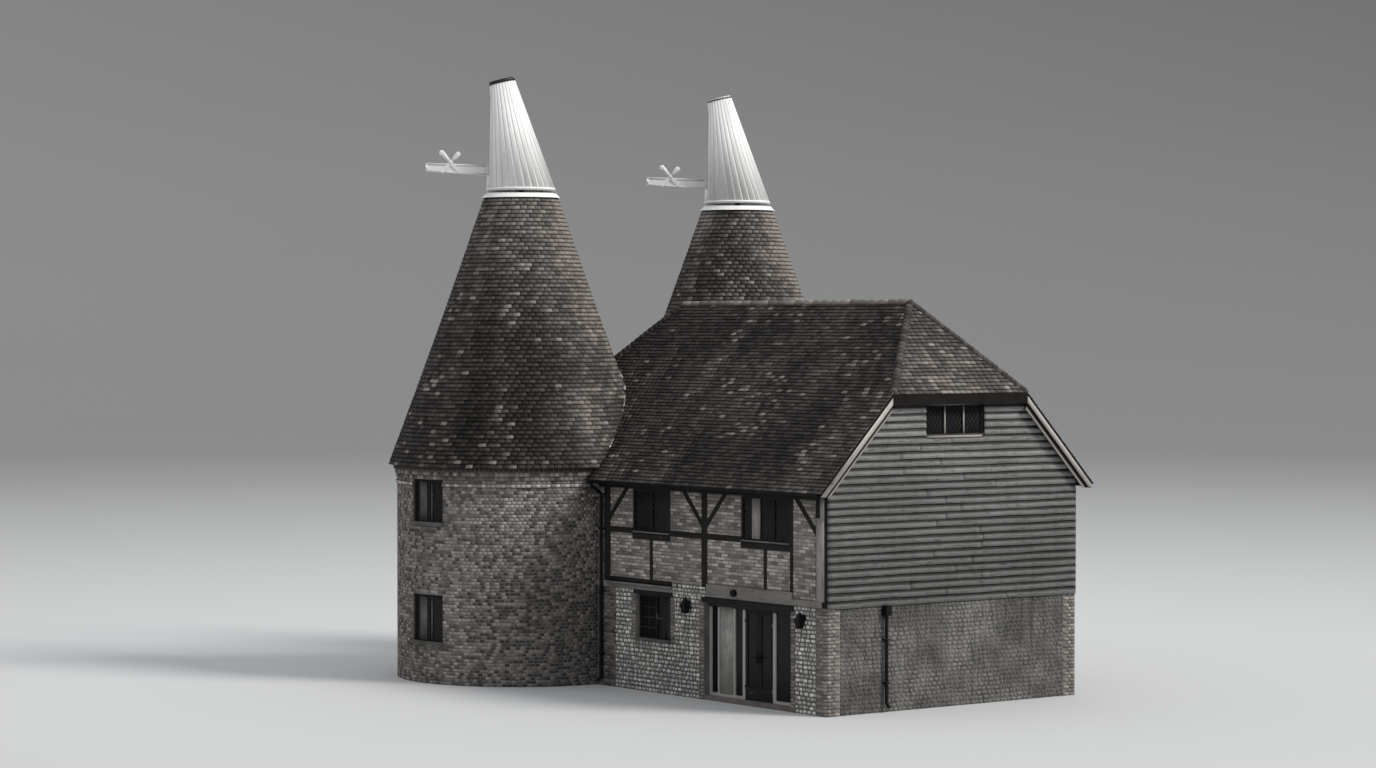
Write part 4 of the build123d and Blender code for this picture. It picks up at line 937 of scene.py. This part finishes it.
def wall_stones():
    """Rubble in rough courses on the ground storey, with brick dressings at the corners and openings."""
    (front, front_openings), (back, back_openings) = LOWER_OPENINGS
    pier = (GABLE_X - CORNER_WIDTH, GABLE_X + 0.01, 0, STONE_TOP)
    back_pier = (-GABLE_X, -GABLE_X + CORNER_WIDTH, 0, STONE_TOP)
    corners = [(*ends, 0, STONE_TOP) for ends in on_both_walls(0, CORNER_WIDTH)]
    walls = (("front", FRONT, RUBBLE_LEFT, GABLE_X, STONE_TOP, holes_round(front_openings) + [pier]),
             ("back", BACK, -GABLE_X, -BRICK_END_LEFT, STONE_TOP, holes_round(back_openings) + [back_pier]),
             ("gable", GABLE, FRONT_Y, -FRONT_Y, STONE_TOP - 0.02, corners))
    for name, place, left, right, head, holes in walls:
        units = laid(left, right, 0, head, STONE_RISE, STONE_LENGTH, holes, 1.0)
        units[:, 2:] += (RANDOM.random((len(units), 2)) - 0.5) * 0.016
        finish, tone, proud = "stone", None, 0.026
        if name == "gable":
            # Limewash has worn off in patches, which the stones' own tones follow
            patches = cloud(units[:, 0] + 8, units[:, 2] + 1, 0.8, 0.5)
            tone = np.clip(1.4 * patches - 0.3 + 0.2 * RANDOM.random(len(units)), 0, 1)
            finish, proud = "washed_stone", 0.014
        rings = cobble_rings(units, place, proud)
        add_prisms(f"rubble_{name}", rings, finish, tone, COBBLE_LAP, slot="stone")
    units = laid(-1.2, -0.06, 2.2, 2.44, 0.09, 0.12, (), 1.0)
    add_prisms("rubble_over_beam", cobble_rings(units, set_out(FRONT, 0.025)), "stone", lap=COBBLE_LAP)
    # The bricks at the front wall's end by the drum get low tones: painted shade
    units = laid(BRICK_END_LEFT, RUBBLE_LEFT, 0, STONE_TOP, BRICK_RISE, STRETCHER, (), 0.05)
    add_prisms("old_brick_end", brick_rings(units, FRONT), "brick", RANDOM.random(len(units)) * 0.45)


def coursed(foot, head):
    """The levels of brick courses between two heights, their rise, and which of them are odd."""
    courses = round((head - foot) / BRICK_RISE)
    rise = (head - foot) / courses
    return foot + np.arange(courses) * rise, rise, np.arange(courses) % 2


def dressings():
    """Brick jambs that tooth into the rubble, one course a header and the next a stretcher."""
    rings = []
    for place, openings in LOWER_OPENINGS:
        for left, right, sill, head in openings:
            level, rise, odd = coursed(sill, head)
            length = np.where(odd, HEADER, STRETCHER * 0.75)
            for start, end in ((left - length, left + 0 * length), (right + 0 * length, right + length)):
                units = np.stack([start, end, level, level + rise], 1)
                rings.append(brick_rings(units, place, 0.016))
    level, rise, odd = coursed(0, STONE_TOP)
    wide = np.where(odd, CORNER_WIDTH, STRETCHER)
    narrow = CORNER_WIDTH + STRETCHER - wide
    for place, edge, reach in ((FRONT, GABLE_X, -wide), (BACK, -GABLE_X, wide),
                               (GABLE, FRONT_Y, narrow), (GABLE, -FRONT_Y, -narrow)):
        for near, far in ((0.0, 0.5), (0.5, 1.0)):
            ends = np.sort([edge + reach * near, edge + reach * far], axis=0)
            rings.append(brick_rings(np.stack([*ends, level, level + rise], 1), place, 0.014))
    rings = np.concatenate(rings)
    add_prisms("brick_dressings", rings, "brick", 0.25 + 0.45 * RANDOM.random(len(rings)))


def link_bricks():
    """The short wall between the kilns, in stretcher courses."""
    low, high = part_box("link_wall")
    units = laid(-high.y + 0.02, -low.y - 0.02, 0, high.z - 0.05, BRICK_RISE, STRETCHER)
    add_prisms("link_bricks", brick_rings(units, plane_place((low.x, 0, 0), (0, -1, 0), (-1, 0, 0))), "brick")


def board_limit(z):
    """Half the gable's width between the slopes at a height."""
    return min(-FRONT_Y, half_width(z + ROOF_THICKNESS / math.cos(SLOPE_PITCH)))


def gable_boards():
    """Feather-edged boards up the gable: a four-point section, thick at its foot, carried along a line that
    wanders a few millimetres up, down and outwards."""
    top = HALF_HIP_Z + (VERGE_X - GABLE_X) * math.tan(HALF_HIP_PITCH)
    top -= ROOF_THICKNESS / math.cos(HALF_HIP_PITCH)
    count = int((top - BOARDS_FOOT) / BOARD_GAUGE)
    rings = []
    tones = []
    for row in range(count + 1):
        low = BOARDS_FOOT - 0.01 + row * BOARD_GAUGE
        high = min(low + BOARD_GAUGE + 0.025, top)
        limit = board_limit(low + 0.03)
        head_limit = board_limit(high)
        joint = (RANDOM.random() - 0.5) * 3.2
        for left, right in ((-limit, joint), (joint, limit)):
            for start, end in free_spans(left, right, [GABLE_WINDOW], low + BOARD_GAUGE / 2):
                t = np.linspace(start + 0.0015, end - 0.0015, 36)
                phase = RANDOM.random(4) * 6.28
                sway = 0.005 * np.sin(t * 1.3 + phase[0]) + 0.003 * np.sin(t * 3.7 + phase[1])
                cup = 0.003 * np.sin(t * 2.1 + phase[2]) + 0.002 * np.sin(t * 6.3 + phase[3])
                upper = np.clip(t, -head_limit, head_limit)
                ring = [GABLE(t, low + sway, -0.004), GABLE(t, low + sway, 0.042 + cup),
                        GABLE(upper, high + sway * 0.3, 0.012 + cup), GABLE(upper, high + sway * 0.3, -0.004)]
                rings.append(np.stack(ring, 1))
                tones.append(0.25 * RANDOM.random() + 0.75 * row / count)
    add_prisms("gable_boards", np.stack(rings)[:, :, ::-1], "weatherboard", tones, lap=BOARD_LAP)


def wall_trim():
    """The pale board up each corner post, notched round the brace's foot, with a dark strip beside it that
    paints the shade at the boards' ends; the weathering board along the stone wall's top and the dark timber
    on it; and the thin ledges over the upper windows' dark sill beams."""
    pale = []
    dark = []
    ledges = []
    start, notch, end = CORNER_BOARD
    for near, far in on_both_walls(-0.024, 0):
        pale.append((start, end, near, far, BEAM_TOP + 0.002, BRACE_FOOT))
        pale.append((notch, end, near, far, BRACE_FOOT, TRIM_TOP))
        # A near-black strip: painted shade in the gap where the boards end
        dark.append((end, GABLE_X + 0.01, near + 0.012, far, BOARDS_FOOT + 0.02, TRIM_TOP))
    for left, right, sill, head in UPPER_WINDOWS:
        for depths in on_both_walls(-0.035, 0.02):
            ledges.append((left + 0.03, right - 0.03, *depths, sill - 0.004, sill + 0.022))
    drip = [(-3.62, -1.25, FRONT_Y - 0.075, FRONT_Y - 0.024, 2.315, 2.36)]
    sole = [(-3.57, -1.3, FRONT_Y - 0.02, FRONT_Y + 0.02, 2.362, 2.465)]
    add_boxes("corner_trim", pale, "pale_upright", "weatherboard")
    add_boxes("corner_strips", dark, "oak_upright", "oak")
    add_boxes("drip_ledge", drip, "pale_timber", "weatherboard")
    add_boxes("sole_plate", sole, "oak_level", "oak")
    add_boxes("window_ledges", ledges, "pale_timber", "weatherboard")


def window_trim():
    """Paler parts of windows: a stile in the right upper one, and the gable window's mullions and sill."""
    left, right, sill, head = GABLE_WINDOW
    face = GABLE_X - 0.022
    strips = [(1.5, 1.76, FRONT_Y + 0.014, FRONT_Y + 0.045, 3.55, 4.4)]
    lights = lights_of(GABLE_WINDOW, 3)
    for before, after in zip(lights, lights[1:]):
        strips.append((face, face + 0.008, before[1] + 0.004, after[0] - 0.004, sill + 0.05, head - 0.05))
    strips.append((face, GABLE_X + 0.05, left + 0.02, right - 0.1, sill - 0.012, sill + 0.03))
    add_boxes("window_trim", strips, "pale_upright", "weatherboard")


def pipe_brackets():
    """Iron bands that hold the downpipes: squat boxes round the pipe, back to the wall."""
    bands = []
    for depths in on_both_walls(-PIPE_Y - 0.045 - FRONT_Y, 0.02):
        for z in PIPE_BANDS:
            bands.append((PIPE_X - PIPE_REACH, PIPE_X + PIPE_REACH, *depths, z, z + PIPE_BAND_RISE))
    sides = (GABLE_PIPE_Y - PIPE_REACH, GABLE_PIPE_Y + PIPE_REACH)
    for z in GABLE_PIPE_BANDS:
        bands.append((GABLE_X, GABLE_X + 0.13, *sides, z, z + PIPE_BAND_RISE))
    add_boxes("pipe_brackets", bands, "iron", "iron")


def door_handles():
    """A back plate, a neck and a lever on the meeting stile of each glazed door."""
    for body, side in (("door_left", 1), ("door_right", -1)):
        low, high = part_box(body)
        centre = (high.x if side > 0 else low.x) - side * 0.042
        face = low.y
        lever = sorted((centre + side * 0.012, centre - side * 0.12))
        parts = [(centre - 0.02, centre + 0.02, face - 0.008, face, 0.92, 1.14),
                 (centre - 0.01, centre + 0.01, face - 0.05, face - 0.008, 1.02, 1.04),
                 (*lever, face - 0.062, face - 0.046, 1.019, 1.041)]
        add_boxes(f"{body}_handle", parts, "iron", "iron", body=body)


def screen_panel():
    """The pale panel that fills one light of the glazed screen."""
    panel = [(0.217, 0.711, FRONT_Y + 0.16, FRONT_Y + 0.17, 0.165, 2.025)]
    add_boxes("screen_panel", panel, "painted_panel", "dark_frames")


# Cowls

def cowl_surface(angle, height, out):
    """The oblique cone: circles that shrink and slide towards the finger's side as they rise."""
    share = height / COWL_RISE
    radius = COWL_FOOT + (COWL_TOP - COWL_FOOT) * share + out
    return np.stack([-COWL_OFFSET * share + radius * np.cos(angle), radius * np.sin(angle), height], -1)


def cowl_top(angle):
    """The height at which a stave meets the slanting cut, solved from the two straight lines."""
    slide = -COWL_OFFSET / COWL_RISE + (COWL_TOP - COWL_FOOT) / COWL_RISE * np.cos(angle)
    reach = COWL_FOOT * np.cos(angle) + COWL_OFFSET
    return (COWL_CUT + COWL_CUT_SLOPE * reach) / (1 - COWL_CUT_SLOPE * slide)


def turned_out(kiln, local):
    """From a cowl's own frame to the house's."""
    x, y, z = np.moveaxis(np.asarray(local, float), -1, 0)
    cos, sin = math.cos(COWL_TURN), math.sin(COWL_TURN)
    return np.stack([kiln.x + x * cos - y * sin, kiln.y + x * sin + y * cos, kiln.cowl_z + z], -1)


def add_to_cowl(kiln, name, local, finish="white_paint", tone=None, lap=None):
    """Prisms from a cowl's own frame, which ride on it."""
    add_prisms(f"cowl_{name}_{kiln.letter}", turned_out(kiln, local), finish, tone, lap,
               slot="white_boards", body=kiln.body)


def cowl_staves(kiln):
    """Boards all round the cowl, cut short above and below the mouth on the sheltered side. Each is a
    six-sided section between two edge angles, with a rounded face and a groove at each side."""
    across = np.array((-0.985, -0.76, -0.35, 0.35, 0.76, 0.985))
    out = np.array((-0.006, 0.0078, 0.0095, 0.0095, 0.0078, -0.006))
    around = np.linspace(math.pi + MOUTH_HALF_ANGLE, 3 * math.pi - MOUTH_HALF_ANGLE, 26)
    mouth = np.linspace(math.pi - MOUTH_HALF_ANGLE, math.pi + MOUTH_HALF_ANGLE, 4)
    sets = []
    lower, upper = MOUTH_LEVELS
    for edges, foot, head in ((around, STAVE_FOOT, None), (mouth, STAVE_FOOT, lower), (mouth, upper, None)):
        angle = (edges[:-1] + edges[1:])[:, None] / 2 + (edges[1:] - edges[:-1])[:, None] / 2 * across
        top = cowl_top(angle) if head is None else np.full_like(angle, head)
        levels = (np.full_like(angle, foot), top)
        sets.append(np.stack([cowl_surface(angle, level, out) for level in levels], 1))
    rings = np.concatenate(sets)
    add_to_cowl(kiln, "staves", rings, "white_boards", 0.6 + 0.4 * RANDOM.random(len(rings)), STAVE_LAP)


def hoop(kiln, name, height, depth, finish):
    """A thin band round the cowl at a height for each angle: a four-point section carried round it."""
    angle = np.linspace(0, 2 * math.pi, 49)[:-1]
    points = [cowl_surface(angle, height(angle) + level, reach)
              for level, reach in ((0.0, 0.004), (0.0, 0.016), (depth, 0.016), (depth, 0.004))]
    ring = turned_out(kiln, np.stack(points, 1))
    faces = band(49, 4)[:, (0, 3, 2, 1)] % ring[..., 0].size
    tone = np.full(ring.shape[:2], 0.8)
    add_piece(f"cowl_{name}_{kiln.letter}", ring, faces, finish, tone=tone, body=kiln.body)


def finger_top(x):
    """The finger's upper edge at a place along it."""
    return FINGER_FOOT + 0.225 + 0.077 * (-x - 0.095) / (-FINGER_TIP - 0.095)


def finger_foot(x):
    """The finger's lower edge, level to its knee and then rising."""
    return FINGER_FOOT + 0.095 * max(0.0, -x - 0.725) / (-FINGER_TIP - 0.725)


def finger_trim(kiln):
    """Raised strips along both edges and the end of the finger, on both faces, with its middle left sunk."""
    tip, deep = FINGER_TIP + 0.003, 0.045
    rings = []
    for near, far in ((-0.034, -0.0255), (0.0255, 0.034)):
        strips = [[(x, finger_top(x) - deep, finger_top(x)) for x in (FINGER_ROOT, tip)],
                  [(x, finger_foot(x), finger_foot(x) + deep) for x in (FINGER_ROOT, tip)],
                  [(x, finger_foot(x) + deep, finger_top(x) - deep) for x in (tip + deep, tip)]]
        for strip in strips:
            rings.append([[(x, near, low), (x, near, high), (x, far, high), (x, far, low)]
                          for x, low, high in strip])
    add_to_cowl(kiln, "finger_trim", rings)


def ornament_bosses(kiln):
    """A rounded boss on the outer upper end of the crossed ornament, and a flat one over the crossing:
    circles that swell and shrink along the board's thickness."""
    rings = []
    for out, up, radius in ((-0.2, 0.215, 0.068), (0.0, 0.0, 0.045)):
        section = []
        for y, share in ((-0.012, 0.5), (-0.024, 0.88), (-0.04, 1.0), (-0.056, 0.88), (-0.066, 0.5)):
            x = ORNAMENT[0] + out + radius * share * np.cos(OCTAGON)
            z = ORNAMENT[2] + up + radius * share * np.sin(OCTAGON)
            section.append(np.stack([x, np.full(8, y), z], 1))
        rings.append(section)
    add_to_cowl(kiln, "ornament_bosses", rings)


def ornament_blades(kiln):
    """Flat carved boards over the ornament's two upper arms, widening from the crossing to rounded ends."""
    reach = np.array((0.03, 0.12, 0.22, 0.28, 0.305))[:, None]
    half = np.array((0.036, 0.042, 0.06, 0.058, 0.03))[:, None]
    cos, sin = math.cos(ORNAMENT_LEAN), math.sin(ORNAMENT_LEAN)
    rings = []
    for side in (-1, 1):
        middle = ORNAMENT + reach * (side * cos, 0, sin)
        corners = [middle + sign * half * (-sin, 0, side * cos) + (0, y, 0)
                   for y, sign in ((-0.022, -1), (-0.022, 1), (-0.05, 1), (-0.05, -1))]
        rings.append(np.stack(corners, 1))
    add_to_cowl(kiln, "ornament_blades", rings)


# Windows

def bar_rings(lines, place, width, depth, out):
    """Thin flat bars along lines of (u, z, u, z) on a wall's own frame."""
    starts, ends = np.hsplit(np.array(lines, float), 2)
    along = ends - starts
    along /= np.linalg.norm(along, axis=1)[:, None]
    side = np.stack([-along[:, 1], along[:, 0]], 1) * width / 2
    corners = (starts - side, ends - side, ends + side, starts + side)
    return np.stack([np.stack([place(*corner.T, d) for corner in corners], 1) for d in (out - depth, out)], 1)


def lattice(left, right, sill, head, wide, tall):
    """The lead lines of a diamond lattice in a light: each family of slanting lines, which pass through u at
    the sill, is cut to the rectangle by the sill, the head and both sides."""
    lines = []
    for sign in (1, -1):
        slope = sign * tall / wide
        for step in range(-math.ceil((head - sill) / tall), math.ceil((right - left) / wide) + 1):
            u = (left if sign > 0 else right) + sign * step * wide
            low, high = sorted(sill + (side - u) * slope for side in (left, right))
            low, high = max(low, sill), min(high, head)
            if high - low > 0.015:
                lines.append((u + (low - sill) / slope, low, u + (high - sill) / slope, high))
    return lines


def lights_of(opening, count, bar=0.055, mullion=0.05):
    """The lights of a window, inside its frame and between its mullions."""
    left, right, sill, head = opening
    width = (right - left - 2 * bar - (count - 1) * mullion) / count
    starts = [left + bar + index * (width + mullion) for index in range(count)]
    return [(start, start + width, sill + bar, head - bar) for start in starts]


def leaded_windows():
    """Diamond leads over the upper windows' glass and plain upright and level leads below."""
    rings = []
    upper = [(FRONT, opening, count) for opening, count in zip(UPPER_WINDOWS, (2, 3))]
    upper += [(BACK, mirrored(opening), count) for wall, opening, count in upper]
    upper.append((GABLE, GABLE_WINDOW, 3))
    for place, opening, count in upper:
        for light in lights_of(opening, count):
            rings.append(bar_rings(lattice(*light, 0.11, 0.15), place, 0.009, 0.008, 0.004 - UPPER_GLASS))
    lower = ((FRONT, LOWER_WINDOW), (BACK, mirrored(LOWER_WINDOW)), (BACK, mirrored(BACK_WINDOW)))
    for place, opening in lower:
        for left, right, sill, head in lights_of(opening, 2):
            middle = (left + right) / 2
            lines = [(left, z, right, z) for z in np.linspace(sill, head, 5)[1:-1]]
            lines.append((middle, sill, middle, head))
            rings.append(bar_rings(lines, place, 0.022, 0.02, 0.012 - LOWER_GLASS))
    add_prisms("window_leads", np.concatenate(rings), "came", slot="lead")


def kiln_windows():
    """Diamond leads over the kiln windows' glass, and the broad paler stile and thin bar in front of it."""
    leads = []
    sashes = []
    for kiln in KILNS:
        out = np.array((math.cos(kiln.window_angle), math.sin(kiln.window_angle), 0.0))
        glass = np.array((kiln.x, kiln.y, 0.0)) + out * (DRUM_RADIUS - LOWER_GLASS)
        place = plane_place(glass, (-out[1], out[0], 0.0), out)
        for low, high in KILN_WINDOWS:
            for light in lights_of((-KILN_WINDOW_HALF, KILN_WINDOW_HALF, low, high), 2):
                leads.append(bar_rings(lattice(*light, 0.12, 0.165), place, 0.009, 0.008, 0.004))
            for u, width in ((-0.215, 0.25), (0.07, 0.045)):
                sashes.append(bar_rings([(u, low + 0.06, u, high - 0.06)], place, width, 0.012, 0.018))
    add_prisms("kiln_window_leads", np.concatenate(leads), "came", slot="lead")
    add_prisms("kiln_sashes", np.concatenate(sashes), "sill", slot="dark_frames")


# Stage. The camera stands where the photograph's did, with a longer lens, so that the house fills its view
CAMERA_PLACE = (57.136, -47.547, 8.069)
CAMERA_AIM = (-3.6, -1.3, 6.72)
CAMERA_LENS = 88.0


def stage():
    """A pale floor that curves up far away and is greyer there, soft light from the sky and one broad lamp,
    and the camera."""
    rim = np.array([(0, 0), (60, 0), (90, 0.5), (120, 2.2), (145, 6), (165, 13), (178, 24), (185, 38),
                    (188, 56)])
    reach, level = rim.T[..., None]
    angle = np.linspace(0, 2 * math.pi, 97)[:-1]
    points = np.stack([reach * np.cos(angle), reach * np.sin(angle), level + 0 * angle], -1).reshape(-1, 3)
    mesh = bpy.data.meshes.new("floor")
    mesh.from_pydata(points.tolist(), [], band(len(rim), 96)[:, (0, 3, 2, 1)].tolist())
    mesh.validate()
    mesh.shade_smooth()
    net, shader, place = start_finish("floor_paper", 0.95, 0.5)
    distance = net.outputs("VectorMath", {0: place}, operation="LENGTH")["Value"]
    shade = net.mix(net.span(distance, 16, 105), tinted(EVEN, 0.5), tinted(EVEN, 0.17))
    net.feed(shade, shader["Base Color"])
    mesh.materials.append(FINISHES["floor_paper"])
    put("floor", mesh)

    world = bpy.data.worlds.new("sky")
    world.use_nodes = True
    background = world.node_tree.nodes["Background"].inputs
    background["Color"].default_value = (0.93, 0.96, 1.0, 1)
    background["Strength"].default_value = 0.85
    bpy.context.scene.world = world

    lamp = bpy.data.lights.new("broad_lamp", "SUN")
    lamp.energy = 2.9
    lamp.angle = math.radians(20)
    lamp.color = (1.0, 0.98, 0.95)
    put("broad_lamp", lamp).rotation_euler = (math.radians(52), 0, math.radians(122))

    lens = bpy.data.cameras.new("camera")
    lens.lens = CAMERA_LENS
    lens.sensor_width = 36.0
    lens.clip_end = 2000
    camera = put("camera", lens)
    camera.location = CAMERA_PLACE
    camera.rotation_mode = "QUATERNION"
    camera.rotation_quaternion = (Vector(CAMERA_AIM) - Vector(CAMERA_PLACE)).to_track_quat("-Z", "Y")
    bpy.context.scene.camera = camera
    bpy.context.scene.view_settings.view_transform = "Standard"


stage()
dress_nodes()
for kiln, flashing in zip(KILNS, (0.05, 0.025)):
    cone_tiles(kiln)
    drum_bricks(kiln)
    cowl_staves(kiln)
    hoop(kiln, "foot_hoop", lambda angle: np.full_like(angle, 0.02), 0.05, "white_boards")
    hoop(kiln, "flashing", lambda angle: cowl_top(angle) - flashing, flashing - 0.001, "lead")
    finger_trim(kiln)
    ornament_bosses(kiln)
    ornament_blades(kiln)
barn_tiles()
ridge_and_hips()
for kiln in KILNS:
    valley(kiln)
infill_bricks()
wall_stones()
dressings()
link_bricks()
gable_boards()
wall_trim()
window_trim()
verge_strips()
pipe_brackets()
door_handles()
screen_panel()
leaded_windows()
kiln_windows()
